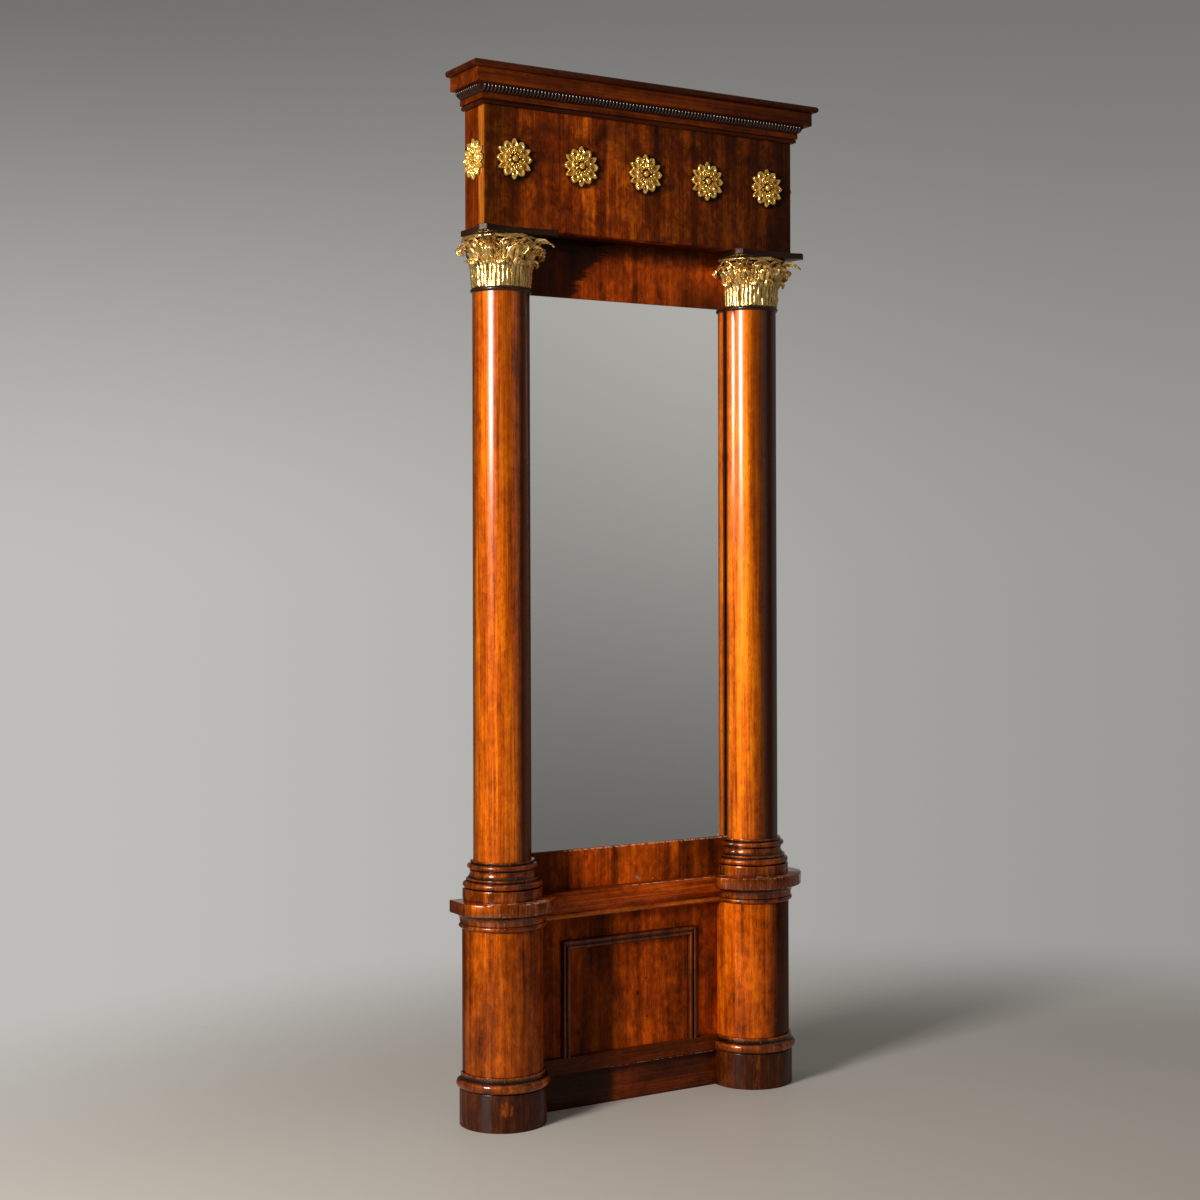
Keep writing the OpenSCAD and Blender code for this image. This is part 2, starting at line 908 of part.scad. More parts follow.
// Round petals with a raised rim, pointed petals between them
module petals() {
    point_w = rosette_r * 0.11;
    point_foot = rosette_r * 0.4;
    point_shoulder = rosette_r * 0.85;
    linear_extrude(rim_t / 2)
        for (i = [0 : round_petals - 1])
            rotate(i * 360 / round_petals) {
                petal_outline(petal_r);
                rotate(180 / round_petals)
                    polygon([
                        [point_foot, -point_w], [point_shoulder, -point_w], [rosette_r, 0],
                        [point_shoulder, point_w], [point_foot, point_w]
                    ]);
            }
    for (i = [0 : round_petals - 1])
        rotate([0, 0, i * 360 / round_petals]) {
            linear_extrude(rim_t)
                difference() {
                    petal_outline(petal_r);
                    petal_outline(petal_r * 0.66);
                }
            translate([petal_mid, 0, 0])
                cylinder(r = petal_r * 0.3, h = rim_t * 0.8, $fn = 24);
        }
}

// Lens-shaped disc, inner ring and boss, with a pin behind
module rosette_heart() {
    disc_r = rosette_r * 0.62;
    ring_mid = rosette_r * 0.34;
    ring_t = rosette_r * 0.08;
    boss_r = rosette_r * 0.15;
    rotate_extrude($fn = 64) {
        polygon([
            [0, 0], [disc_r, 0], [disc_r, rosette_t * 0.3],
            [ring_mid, rosette_t * 0.55], [0, rosette_t * 0.4]
        ]);
        translate([ring_mid, rosette_t * 0.52])
            circle(r = ring_t, $fn = 24);
        polygon([
            [0, 0], [boss_r, 0], [boss_r, rosette_t * 0.7],
            [boss_r * 0.75, rosette_t * 0.9], [boss_r * 0.35, rosette_t], [0, rosette_t]
        ]);
    }
    translate([0, 0, -rosette_pin_l])
        cylinder(r = rosette_pin_r, h = rosette_pin_l + over, $fn = 32);
}

module rosette() {
    rosette_heart();
    petals();
}

module rosettes_set() {
    for (i = [-2 : 2])
        translate([i * rosette_pitch, -frieze_d, z_rosette])
            rotate([90, 0, 0])
                rosette();
    for (s = [-1, 1])
        translate([s * frieze_half, -frieze_d / 2, z_rosette])
            rotate([90, 0, s * 90])
                rosette();
}

// ---- Cornice ----

// Inner edge of the strips behind the frieze's face, and how far out the mitres run
strip_d = frieze_front_t;
mitre_out = 90;

// Part of the plan that belongs to the front strip, up to the mitres
module front_zone() {
    translate([0, 0, z_cornice - over])
        linear_extrude(z_top_slab - z_cornice + 2 * over)
            polygon([
                [frieze_half + mitre_out, -frieze_d - mitre_out],
                [frieze_half - strip_d, strip_d - frieze_d],
                [strip_d - frieze_half, strip_d - frieze_d],
                [-frieze_half - mitre_out, -frieze_d - mitre_out]
            ]);
}

// Part of the plan that belongs to the right strip
module side_zone() {
    translate([0, 0, z_cornice - over])
        linear_extrude(z_top_slab - z_cornice + 2 * over)
            polygon([
                [frieze_half + mitre_out, -frieze_d - mitre_out],
                [frieze_half + mitre_out, 0],
                [frieze_half - strip_d, 0],
                [frieze_half - strip_d, strip_d - frieze_d]
            ]);
}

// Strip along the front; its section is given as distance out and height
module front_strip(z) {
    intersection() {
        translate([0, -frieze_d, z])
            rotate([90, 0, 90])
                linear_extrude(2 * far, center = true)
                    mirror([1, 0])
                        children();
        front_zone();
    }
}

// Strip along the right side
module side_strip(z) {
    intersection() {
        translate([frieze_half, 0, z])
            rotate([90, 0, 0])
                linear_extrude(frieze_d + far)
                    children();
        side_zone();
    }
}

module foot_section() {
    nose = cornice_foot_h / 2;
    translate([-strip_d, 0])
        square([strip_d + cornice_foot_out - nose, cornice_foot_h]);
    translate([cornice_foot_out - nose, nose])
        circle(r = nose, $fn = 32);
}

module fascia_section() {
    translate([-strip_d, 0])
        square([strip_d + cornice_fascia_out, cornice_fascia_h]);
}

module corona_section() {
    translate([-strip_d, 0])
        square([strip_d + corona_out, corona_h]);
}

// The reeds lean outward; each reed is a round rib on a sloping strip
reeds_run = reeds_top_out - reeds_foot_out;
reeds_lean = atan(reeds_run / reeds_h);
reeds_slope = sqrt(reeds_run * reeds_run + reeds_h * reeds_h);
reed_relief = 3;
reed_spare = 4;

module reed_strip_section() {
    polygon([
        [-strip_d, 0], [reeds_foot_out - reed_relief, 0],
        [reeds_top_out - reed_relief, reeds_h], [-strip_d, reeds_h]
    ]);
}

// Ribs along the front, centred on x = 0, between the mitres
module reeds_along(half, face) {
    n = floor(2 * half / reed_pitch);
    pitch = 2 * half / n;
    rib_r = pitch / 2 - clearance;
    for (i = [0 : n - 1])
        translate([-half + (i + 0.5) * pitch, face, 0])
            rotate([reeds_lean, 0, 0])
                translate([0, 0, -reed_spare])
                    cylinder(r = rib_r, h = reeds_slope + 2 * reed_spare, $fn = 16);
}

module reeds_front() {
    intersection() {
        translate([0, 0, z_reeds])
            reeds_along(frieze_half + reeds_foot_out, reed_relief - frieze_d - reeds_foot_out);
        translate([-far, -far, z_reeds])
            cube([2 * far, far, reeds_h]);
        front_zone();
    }
    front_strip(z_reeds)
        reed_strip_section();
}

module reeds_side() {
    run_half = (frieze_d + reeds_foot_out) / 2;
    intersection() {
        translate([frieze_half + reeds_foot_out - reed_relief, -run_half, z_reeds])
            rotate([0, 0, 90])
                reeds_along(run_half, 0);
        translate([-far, -far, z_reeds])
            cube([2 * far, far, reeds_h]);
        side_zone();
    }
    side_strip(z_reeds)
        reed_strip_section();
}

// Slab with a half-round nose on its front and sides
module top_slab_piece() {
    nose = slab_h / 2;
    half = frieze_half + slab_out;
    intersection() {
        translate([0, 0, z_top_slab])
            rotate([90, 0, 90])
                linear_extrude(2 * half, center = true) {
                    translate([nose - depth, 0])
                        square([depth - nose, slab_h]);
                    translate([nose - depth, nose])
                        circle(r = nose, $fn = 32);
                }
        translate([0, 0, z_top_slab])
            rotate([90, 0, 0])
                linear_extrude(depth) {
                    translate([nose - half, 0])
                        square([2 * (half - nose), slab_h]);
                    for (s = [-1, 1])
                        translate([s * (half - nose), nose])
                            circle(r = nose, $fn = 32);
                }
    }
}

// ---- Joints and fixings ----

module dowel(z0, z1) {
    for (s = [-1, 1])
        translate([s * column_x, -axis_d, z0])
            cylinder(r = dowel_r, h = z1 - z0, $fn = 48);
}

module dowels_set() {
    dowel(z_ring - dowel_reach, z_drum + dowel_reach);
    dowel(z_bead - dowel_reach, z_base + dowel_reach);
    dowel(z_shaft - dowel_reach, z_shaft + dowel_reach);
    dowel(z_neck - dowel_reach, z_capital + dowel_reach);
    dowel(z_abacus - dowel_reach, z_frieze + frieze_inner_t);
}

module plate() {
    difference() {
        translate([-plate_w / 2, -plate_t, -plate_h / 2])
            cube([plate_w, plate_t, plate_h]);
        translate([0, over, 0])
            rotate([90, 0, 0])
                cylinder(r = hang_hole_r, h = plate_t + 2 * over, $fn = 48);
        for (t = [-1, 1])
            translate([t * screw_x, 0, 0]) {
                translate([0, over, 0])
                    rotate([90, 0, 0])
                        cylinder(r = screw_r + clearance, h = plate_t + 2 * over, $fn = 32);
                translate([0, over, 0])
                    rotate([90, 0, 0])
                        cylinder(r = screw_head_r + clearance, h = screw_head_t + over, $fn = 32);
            }
    }
}

module plates_set() {
    for (s = [-1, 1])
        translate([s * plate_x, 0, plate_z])
            plate();
}

module screws_set() {
    slot_w = 0.8;
    slot_l = 2 * (screw_head_r + over);
    for (s = [-1, 1], t = [-1, 1])
        translate([s * plate_x + t * screw_x, 0, plate_z])
            difference() {
                rotate([90, 0, 0]) {
                    cylinder(r = screw_head_r, h = screw_head_t, $fn = 32);
                    cylinder(r = screw_r, h = screw_l, $fn = 32);
                }
                translate([-slot_w / 2, -slot_w / 2, -slot_l / 2])
                    cube([slot_w, slot_w, slot_l]);
            }
}

// ---- One module for each sub-part ----

module foot_left() {
    color(mahogany)
        in_frame()
            foot(-1);
}

module foot_right() {
    color(mahogany)
        in_frame()
            foot(1);
}

module foot_ring_left() {
    color(mahogany)
        in_frame()
            foot_ring(-1);
}

module foot_ring_right() {
    color(mahogany)
        in_frame()
            foot_ring(1);
}

module pedestal_left() {
    color(mahogany)
        in_frame()
            pedestal(-1);
}

module pedestal_right() {
    color(mahogany)
        in_frame()
            pedestal(1);
}

module pedestal_bead_left() {
    color(mahogany)
        in_frame()
            pedestal_bead(-1);
}

module pedestal_bead_right() {
    color(mahogany)
        in_frame()
            pedestal_bead(1);
}

module cap_left() {
    color(mahogany)
        in_frame()
            cap(-1);
}

module cap_right() {
    color(mahogany)
        in_frame()
            cap(1);
}

module column_base_left() {
    color(mahogany)
        in_frame()
            column_base(-1);
}

module column_base_right() {
    color(mahogany)
        in_frame()
            column_base(1);
}

module shaft_left() {
    color(mahogany)
        in_frame()
            shaft(-1);
}

module shaft_right() {
    color(mahogany)
        in_frame()
            shaft(1);
}

module necking_left() {
    color(dark_wood)
        in_frame()
            necking(-1);
}

module necking_right() {
    color(dark_wood)
        in_frame()
            necking(1);
}

module capital_left() {
    color(gilt)
        in_frame()
            capital(-1);
}

module capital_right() {
    color(gilt)
        in_frame()
            capital(1);
}

module abacus_left() {
    color(dark_wood)
        in_frame()
            abacus(-1);
}

module abacus_right() {
    color(dark_wood)
        in_frame()
            abacus(1);
}

module base_board() {
    color(mahogany)
        in_frame()
            base_board_piece();
}

module base_strip() {
    color(mahogany)
        in_frame()
            base_strip_piece();
}

module dado_board() {
    color(mahogany)
        in_frame()
            dado_piece();
}

module panel_mould_left() {
    color(mahogany)
        in_frame()
            mirror([1, 0, 0])
            panel_upright();
}

module panel_mould_right() {
    color(mahogany)
        in_frame()
            panel_upright();
}

module panel_mould_top() {
    color(mahogany)
        in_frame()
            panel_top_strip();
}

module ledge_bead() {
    color(mahogany)
        in_frame()
            ledge_bead_bar(case_half);
}

module ledge_board() {
    color(mahogany)
        in_frame()
            ledge_bar(case_half);
}

module bottom_rail() {
    color(mahogany)
        in_frame()
            bottom_rail_piece();
}

module top_rail() {
    color(mahogany)
        in_frame()
            top_rail_piece();
}

module stile_left() {
    color(pine)
        in_frame()
            mirror([1, 0, 0])
            stile_piece();
}

module stile_right() {
    color(pine)
        in_frame()
            stile_piece();
}

module mirror_glass() {
    color(silver)
        in_frame()
            glass_piece();
}

module back_boards() {
    color(pine)
        in_frame()
            back_boards_piece();
}

module glass_blocks() {
    color(pine)
        in_frame()
            glass_blocks_piece();
}

module frieze_front() {
    color(mahogany)
        in_frame()
            frieze_front_piece();
}

module frieze_left() {
    color(mahogany)
        in_frame()
            mirror([1, 0, 0])
            frieze_side_piece();
}

module frieze_right() {
    color(mahogany)
        in_frame()
            frieze_side_piece();
}

module frieze_soffit() {
    color(mahogany)
        in_frame()
            soffit_piece();
}

module frieze_back() {
    color(pine)
        in_frame()
            frieze_back_piece();
}

module glue_blocks() {
    color(pine)
        in_frame()
            glue_blocks_piece();
}

module rosettes() {
    color(gilt)
        in_frame()
            rosettes_set();
}

module cornice_foot_front() {
    color(dark_wood)
        in_frame()
            front_strip(z_cornice)
                foot_section();
}

module cornice_foot_left() {
    color(dark_wood)
        in_frame()
            mirror([1, 0, 0])
                side_strip(z_cornice)
                    foot_section();
}

module cornice_foot_right() {
    color(dark_wood)
        in_frame()
            side_strip(z_cornice)
                foot_section();
}

module cornice_fascia_front() {
    color(mahogany)
        in_frame()
            front_strip(z_fascia)
                fascia_section();
}

module cornice_fascia_left() {
    color(mahogany)
        in_frame()
            mirror([1, 0, 0])
                side_strip(z_fascia)
                    fascia_section();
}

module cornice_fascia_right() {
    color(mahogany)
        in_frame()
            side_strip(z_fascia)
                fascia_section();
}

module cornice_reeds_front() {
    color(dark_wood)
        in_frame()
            reeds_front();
}

module cornice_reeds_left() {
    color(dark_wood)
        in_frame()
            mirror([1, 0, 0])
            reeds_side();
}

module cornice_reeds_right() {
    color(dark_wood)
        in_frame()
            reeds_side();
}

module corona_front() {
    color(mahogany)
        in_frame()
            front_strip(z_corona)
                corona_section();
}

module corona_left() {
    color(mahogany)
        in_frame()
            mirror([1, 0, 0])
                side_strip(z_corona)
                    corona_section();
}

module corona_right() {
    color(mahogany)
        in_frame()
            side_strip(z_corona)
                corona_section();
}

module top_slab() {
    color(dark_wood)
        in_frame()
            top_slab_piece();
}

module dowels() {
    color(pine)
        in_frame()
            dowels_set();
}

module hanging_plates() {
    color(iron)
        in_frame()
            plates_set();
}

module plate_screws() {
    color(iron)
        in_frame()
            screws_set();
}

// ---- Drawing ----

foot_left();
foot_right();
foot_ring_left();
foot_ring_right();
pedestal_left();
pedestal_right();
pedestal_bead_left();
pedestal_bead_right();
cap_left();
cap_right();
column_base_left();
column_base_right();
shaft_left();
shaft_right();
necking_left();
necking_right();
capital_left();
capital_right();
abacus_left();
abacus_right();
base_board();
base_strip();
dado_board();
panel_mould_left();
panel_mould_right();
panel_mould_top();
ledge_bead();
ledge_board();
bottom_rail();
top_rail();
stile_left();
stile_right();
mirror_glass();
back_boards();
glass_blocks();
frieze_front();
frieze_left();
frieze_right();
frieze_soffit();
frieze_back();
glue_blocks();
rosettes();
cornice_foot_front();
cornice_foot_left();
cornice_foot_right();
cornice_fascia_front();
cornice_fascia_left();
cornice_fascia_right();
cornice_reeds_front();
cornice_reeds_left();
cornice_reeds_right();
corona_front();
corona_left();
corona_right();
top_slab();
dowels();
hanging_plates();
plate_screws();
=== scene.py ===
"""Dressing of a mahogany pier mirror with gilt capitals and rosettes."""
import math
from contextlib import contextmanager

import bmesh
import bpy
from mathutils import Matrix, Vector, noise

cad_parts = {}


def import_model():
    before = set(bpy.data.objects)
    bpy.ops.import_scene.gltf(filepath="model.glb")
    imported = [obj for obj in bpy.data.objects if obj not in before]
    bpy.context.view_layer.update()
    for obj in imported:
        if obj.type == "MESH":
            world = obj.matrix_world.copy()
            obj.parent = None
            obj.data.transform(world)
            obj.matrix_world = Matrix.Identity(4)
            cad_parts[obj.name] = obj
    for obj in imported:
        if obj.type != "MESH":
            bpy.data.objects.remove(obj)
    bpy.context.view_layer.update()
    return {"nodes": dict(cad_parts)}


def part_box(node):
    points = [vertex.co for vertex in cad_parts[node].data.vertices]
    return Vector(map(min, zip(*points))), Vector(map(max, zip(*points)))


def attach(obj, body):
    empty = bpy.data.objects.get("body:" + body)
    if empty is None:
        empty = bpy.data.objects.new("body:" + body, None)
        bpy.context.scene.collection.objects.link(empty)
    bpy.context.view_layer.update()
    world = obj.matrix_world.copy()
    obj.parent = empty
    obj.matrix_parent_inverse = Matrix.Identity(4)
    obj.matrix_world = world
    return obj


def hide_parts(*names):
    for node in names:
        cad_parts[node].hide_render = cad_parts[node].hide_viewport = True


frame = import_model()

NODES = frame["nodes"]

# ---- Sizes of the mirror, read from the frame ----

MM = 0.001
BODY = "root"
SIDES = {"left": -1, "right": 1}
ENDS = ("front", "left", "right")
HOLLOW = "hollow"                      # attribute that says how deep a point lies in a crease

FOOT_LOW, FOOT_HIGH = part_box("foot_right")
WALL = FOOT_HIGH.y
COLUMN_X = (FOOT_LOW.x + FOOT_HIGH.x) / 2
COLUMN_Y = FOOT_LOW.y + (FOOT_HIGH.x - FOOT_LOW.x) / 2
BACK = WALL - COLUMN_Y
FIT = 0.3 * MM                         # air between a turned piece and the board it is housed round
GLASS_FIT = 2.2 * MM                   # the same in front of the glass
HOUSING_X = COLUMN_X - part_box("base_board")[1].x - FIT
CAP_BEVEL = 23.5 * MM                  # height of the hollow bevel under the slab of a pedestal cap
FRIEZE_LOW, FRIEZE_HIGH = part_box("frieze_front")
ROSETTES = 5
ROSETTE_PITCH = 168 * MM
ROSETTE_Z = (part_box("rosettes")[0].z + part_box("rosettes")[1].z) / 2


def front(node):
    """Front face of a board."""
    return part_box(node)[0].y


def levels(node):
    """Lowest and highest point of a node."""
    low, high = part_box(node)
    return low.z, high.z


def reach(node):
    """How far a turned node stands out from its axis."""
    return COLUMN_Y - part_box(node)[0].y


# ---- Node trees ----

def reckoned(operation, last=False):
    """An operator of a wire, as a Math node; last where the wire is the second operand."""
    def work(wire, *other):
        values = (*other, wire) if last else (wire, *other)
        return wire.sheet.node("ShaderNodeMath", {"operation": operation}, dict(enumerate(values)))
    return work


class Wire:
    """A socket of a node tree that is reckoned with like a number."""

    def __init__(self, sheet, socket):
        self.sheet = sheet
        self.socket = socket

    __add__ = reckoned("ADD")
    __radd__ = reckoned("ADD", True)
    __sub__ = reckoned("SUBTRACT")
    __rsub__ = reckoned("SUBTRACT", True)
    __mul__ = reckoned("MULTIPLY")
    __rmul__ = reckoned("MULTIPLY", True)
    __truediv__ = reckoned("DIVIDE")
    __pow__ = reckoned("POWER")
    __abs__ = reckoned("ABSOLUTE")
    sine = reckoned("SINE")
    root = reckoned("SQRT")
    most = reckoned("MAXIMUM")

    def __neg__(self):
        return self * -1.0

    def rise(self, low, high):
        """0 below low, 1 above high, a soft step between."""
        settings = {"interpolation_type": "SMOOTHSTEP", "clamp": True}
        return self.sheet.node("ShaderNodeMapRange", settings, {0: self, 1: low, 2: high})

    def band(self, low, high, edge):
        """1 between low and high, 0 outside, with soft edges."""
        return self.rise(low - edge, low + edge) * (1 - self.rise(high - edge, high + edge))


class Sheet:
    """A node tree and the one way to add a node to it."""

    def __init__(self, tree):
        self.tree = tree

    def feed(self, socket, value):
        """Links a wire to a socket or sets a plain value on it. A colour gets its alpha here."""
        if isinstance(value, Wire):
            self.tree.links.new(value.socket, socket)
        elif socket.type == "RGBA":
            socket.default_value = (*value, 1.0)
        else:
            socket.default_value = value

    def node(self, kind, settings=None, inputs=None, out=0):
        """A node with its settings and sockets, as a wire from one of its outputs."""
        node = self.tree.nodes.new(kind)
        for key, value in (settings or {}).items():
            if key == "stops":
                stops = node.color_ramp.elements
                while len(stops) < len(value):
                    stops.new(0.5)
                for stop, (place, colour) in zip(stops, value):
                    stop.position = place
                    stop.color = (*colour, 1.0)
            else:
                setattr(node, key, value)
        for key, value in (inputs or {}).items():
            self.feed(node.inputs[key], value)
        return Wire(self, node.outputs[out])

    def parts(self, vector):
        """The three numbers of a vector."""
        split = self.node("ShaderNodeSeparateXYZ", None, {0: vector})
        return [Wire(self, number) for number in split.socket.node.outputs]

    def vector(self, x, y, z):
        """A vector from three numbers."""
        return self.node("ShaderNodeCombineXYZ", None, {0: x, 1: y, 2: z})


class Finish(Sheet):
    """A surface finish: one material built from patterns in the frame's own space."""

    def __init__(self, name):
        material = bpy.data.materials.new(name)
        material.use_nodes = True
        super().__init__(material.node_tree)
        self.material = material
        self.shader = self.tree.nodes["Principled BSDF"]
        self.place = self.node("ShaderNodeTexCoord", None, None, 3)
        self.x, self.y, self.z = self.parts(self.place)

    def noise(self, size, seed=0.0, detail=3.0, rough=0.5, warp=0.0):
        """Noise whose grains measure size, in mm along x, y and z."""
        spread = tuple(1.0 / (s * MM) for s in size)
        shift = (seed * 3.7, seed * 1.9, seed * 2.3)
        moved = self.node("ShaderNodeMapping", None, {0: self.place, 1: shift, 3: spread})
        inputs = {"Vector": moved, "Scale": 1.0, "Detail": detail,
                  "Roughness": rough, "Distortion": warp}
        return self.node("ShaderNodeTexNoise", None, inputs)

    def hollow(self):
        """How deep the surface lies in a crease, 0 to 1."""
        return self.node("ShaderNodeAttribute", {"attribute_name": HOLLOW}, None, 2)

    def away(self, place):
        """How far the surface is from a place."""
        return self.node("ShaderNodeVectorMath", {"operation": "DISTANCE"},
                         {0: self.place, 1: place}, 1)

    def spot(self, place, radius, soft=0.6):
        """A round mark about a place, 1 in its middle."""
        return 1 - self.away(place).rise(radius * (1 - soft), radius)

    def blend(self, factor, first, second, kind="MIX"):
        """Mix of two colours."""
        settings = {"data_type": "RGBA", "blend_type": kind}
        return self.node("ShaderNodeMix", settings, {0: factor, 6: first, 7: second}, 2)

    def ramp(self, factor, *stops):
        """Colours along a factor, each with its place."""
        return self.node("ShaderNodeValToRGB", {"stops": stops}, {0: factor})

    def bump(self, height, strength, distance):
        """Relief too fine to model."""
        return self.node("ShaderNodeBump", None,
                         {"Height": height, "Strength": strength, "Distance": distance})

    def coat(self, **sockets):
        """Sets the shader's own sockets: Base_Color=..., Roughness=..."""
        for key, value in sockets.items():
            self.feed(self.shader.inputs[key.replace("_", " ")], value)
        return self.material


# ---- Finishes. Grain sizes are in mm ----

def laid(way, width, length):
    """Size of a grain that runs along one axis."""
    return tuple(length if axis == way else width for axis in "xyz")


def mahogany(name, deep, warm, bright, seed, figure=26, run=420, sheen=0.45, body=0.68,
             gloss=0.10, polish=0.12, way="z", marks=None, mottle=0.0):
    """French-polished mahogany: figure, fine streaks or mottling, and pores along the grain.

    Its tones are deep, warm and bright. The figure is so wide and runs so far, seed shifts it, mottle
    breaks it up, and marks adds the age of the piece and, on most pieces, painted light and shade.
    """
    f = Finish(name)
    broad = f.noise(laid(way, figure, run), seed, 2.0, 0.5, 0.4)
    streak = f.noise(laid(way, 3.2, 210), seed + 1, 3.0, 0.6)
    cloud = f.noise(laid(way, 48, 120), seed + 2, 4.0, 0.6)
    pores = f.noise(laid(way, 1.1, 16), seed + 3, 1.0, 0.5).rise(0.58, 0.72)
    ripple = f.noise(laid(way, 16, 22), seed + 4, 3.0, 0.6, 0.5)
    depth = (broad * 0.34 + streak * (0.26 - mottle) + cloud * (0.24 + mottle / 2)
             + ripple * (0.16 + mottle / 2))
    wood = f.ramp(depth, (0.38, deep), (0.50, warm), (0.61, bright))
    wood = f.blend(pores * 0.6, wood, tuple(0.3 * part for part in deep))
    # darker in the creases of turned pieces: dirty there, and painted shade as well
    crease_dirt_and_shade = (f.hollow() + (streak - 0.5) * 0.3).rise(0.14, 0.72)
    wood = f.blend(crease_dirt_and_shade * 0.94, wood, (0.007, 0.0020, 0.0008))
    if marks:
        wood = marks(f, wood)
    return f.coat(Base_Color=wood, Roughness=cloud * 0.10 + body, Metallic=sheen,
                  Specular_IOR_Level=0.20, Specular_Tint=(1.0, 0.42, 0.10),
                  Normal=f.bump(streak * 0.4 - pores, 0.10, 0.4 * MM),
                  Coat_Weight=gloss, Coat_Roughness=polish, Coat_IOR=1.42)


def black_wood(name, seed, marks=None, gloss=0.5, brown=1.0):
    """Ebonised wood with brown showing through on rubbed places."""
    f = Finish(name)
    grain = f.noise(laid("x", 3, 70), seed, 3.0, 0.6)
    cloud = f.noise((60, 60, 60), seed + 1, 3.0, 0.5)
    wood = f.ramp(grain * 0.6 + cloud * 0.4, (0.35, (0.010 * brown, 0.003 * brown, 0.0015)),
                  (0.60, (0.028 * brown, 0.008 * brown, 0.003)),
                  (0.80, (0.075 * brown, 0.020 * brown, 0.006)))
    if marks:
        wood = marks(f, wood)
    if callable(gloss):
        gloss = gloss(f)
    return f.coat(Base_Color=wood, Roughness=cloud * 0.20 + 0.30, Specular_IOR_Level=0.25,
                  Normal=f.bump(grain, 0.15, 0.3 * MM), Coat_Weight=gloss, Coat_Roughness=0.16)


def gilding(name, seed, warm=0.0, sheen=0.85, gloss=0.20):
    """Leaf gilding: bright gold on the high places, brown in the recesses as dirty patina and painted
    shade.
    """
    f = Finish(name)
    cloud = f.noise((14, 14, 14), seed, 3.0, 0.6)
    grit = f.noise((2.2, 2.2, 2.2), seed + 1, 3.0, 0.6)
    gold = f.ramp(cloud * 0.6 + grit * 0.4, (0.30, (0.52, 0.27, 0.060)),
                  (0.50, (0.86, 0.55, 0.17)), (0.70, (1.0, 0.80, 0.42)))
    gold = f.blend(warm, gold, (1.0, 0.56, 0.07))
    # brown in the recesses: dirty patina, and painted shade as well
    dirt_and_shade = (f.hollow() + (grit - 0.5) * 0.95).rise(0.36, 0.58)
    gold = f.blend(dirt_and_shade, gold, (0.062, 0.024, 0.004))
    return f.coat(Base_Color=gold, Metallic=sheen - dirt_and_shade * 0.5,
                  Roughness=gloss + dirt_and_shade * 0.4 + cloud * 0.10,
                  Normal=f.bump(grit, 0.55, 0.7 * MM))


def silvering():
    """Old plate glass: a clean reflection, greyer and foxed towards the edges."""
    f = Finish("old_plate_glass")
    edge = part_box("mirror_glass")[1].x
    rim = abs(f.x).rise(edge - 34 * MM, edge - 2 * MM)
    bloom = f.noise((26, 26, 26), 3.0, 4.0, 0.6)
    foxing = ((bloom - 0.5) * 1.4 + rim * 0.5).rise(0.45, 0.72) * 0.5
    colour = f.blend(foxing, (0.80, 0.80, 0.78), (0.30, 0.28, 0.25))
    return f.coat(Base_Color=colour, Metallic=1.0, Roughness=0.015 + foxing * 0.15)


def softwood(name, seed, way):
    """Unfinished pine of the carcase, browned by age."""
    f = Finish(name)
    rings = f.noise(laid(way, 9, 240), seed, 3.0, 0.6, 0.6)
    cloud = f.noise((120, 120, 120), seed + 1, 3.0, 0.5)
    wood = f.ramp(rings * 0.7 + cloud * 0.3, (0.30, (0.14, 0.070, 0.026)),
                  (0.52, (0.27, 0.150, 0.062)), (0.75, (0.38, 0.240, 0.110)))
    return f.coat(Base_Color=wood, Roughness=0.62 + cloud * 0.2, Normal=f.bump(rings, 0.35, 0.5 * MM))


def iron():
    """Black forged iron with a little rust."""
    f = Finish("forged_iron")
    cloud = f.noise((7, 7, 7), 5.0, 4.0, 0.6)
    rust = cloud.rise(0.55, 0.68)
    colour = f.blend(rust, (0.045, 0.042, 0.040), (0.16, 0.060, 0.022))
    return f.coat(Base_Color=colour, Metallic=0.9 - rust * 0.7, Roughness=0.4 + rust * 0.35,
                  Normal=f.bump(cloud, 0.3, 0.4 * MM))


# ---- Age, wear and painted light and shade on the finishes. Each takes a finish and its wood and gives the wood back ----

LEFT_END, RIGHT_END = -430, 430        # where the painted light and shade of a board begin and end, by x in mm


def painted_light_along(*stops):
    """Painted light and shade along a board, by x in mm and how much light it keeps there."""
    peak = max(light for _, light in stops)

    def shade(light):
        return light, light ** 0.94, light ** 1.2

    def marks(f, wood):
        run = RIGHT_END - LEFT_END
        tones = [((x - LEFT_END) / run, shade(light / peak)) for x, light in stops]
        tones = f.ramp((f.x / MM - LEFT_END) / run, *tones)
        wood = f.blend(1.0, wood, tones, "MULTIPLY")
        return f.blend(1.0, wood, shade(peak), "MULTIPLY")
    return marks


def rubbed(f, wood, node, z, low, high, seed, wide):
    """A broken pale line where a board's arris at height z is rubbed bare, from low to high in mm."""
    face = front(node)
    chips = f.noise((9, 15, 60), 20 + seed, 4.0, 0.8).rise(0.47, 0.55)
    line = f.z.band(z - wide * MM, z + wide * MM, 0.4 * MM) * f.x.band(low * MM, high * MM, 20 * MM)
    line = line * (1 - f.y.rise(face + 1.6 * MM, face + 2.4 * MM))
    return f.blend(line * chips * 0.9, wood, (0.92, 0.68, 0.42))


def jointed(f, wood, places, edge, strength, dark):
    """Dark lines where two leaves of veneer meet, at x in mm."""
    for x in places:
        joint = f.x.band((x - 0.5) * MM, (x + 0.5) * MM, edge * MM)
        wood = f.blend(joint * strength, wood, dark)
    return wood


def spotted(f, wood, node, spots, strength, colour):
    """Small round spots on a board, each by x, z and radius in mm."""
    for x, z, radius in spots:
        spot = f.spot((x * MM, front(node), z * MM), radius * MM)
        wood = f.blend(spot * strength, wood, colour)
    return wood


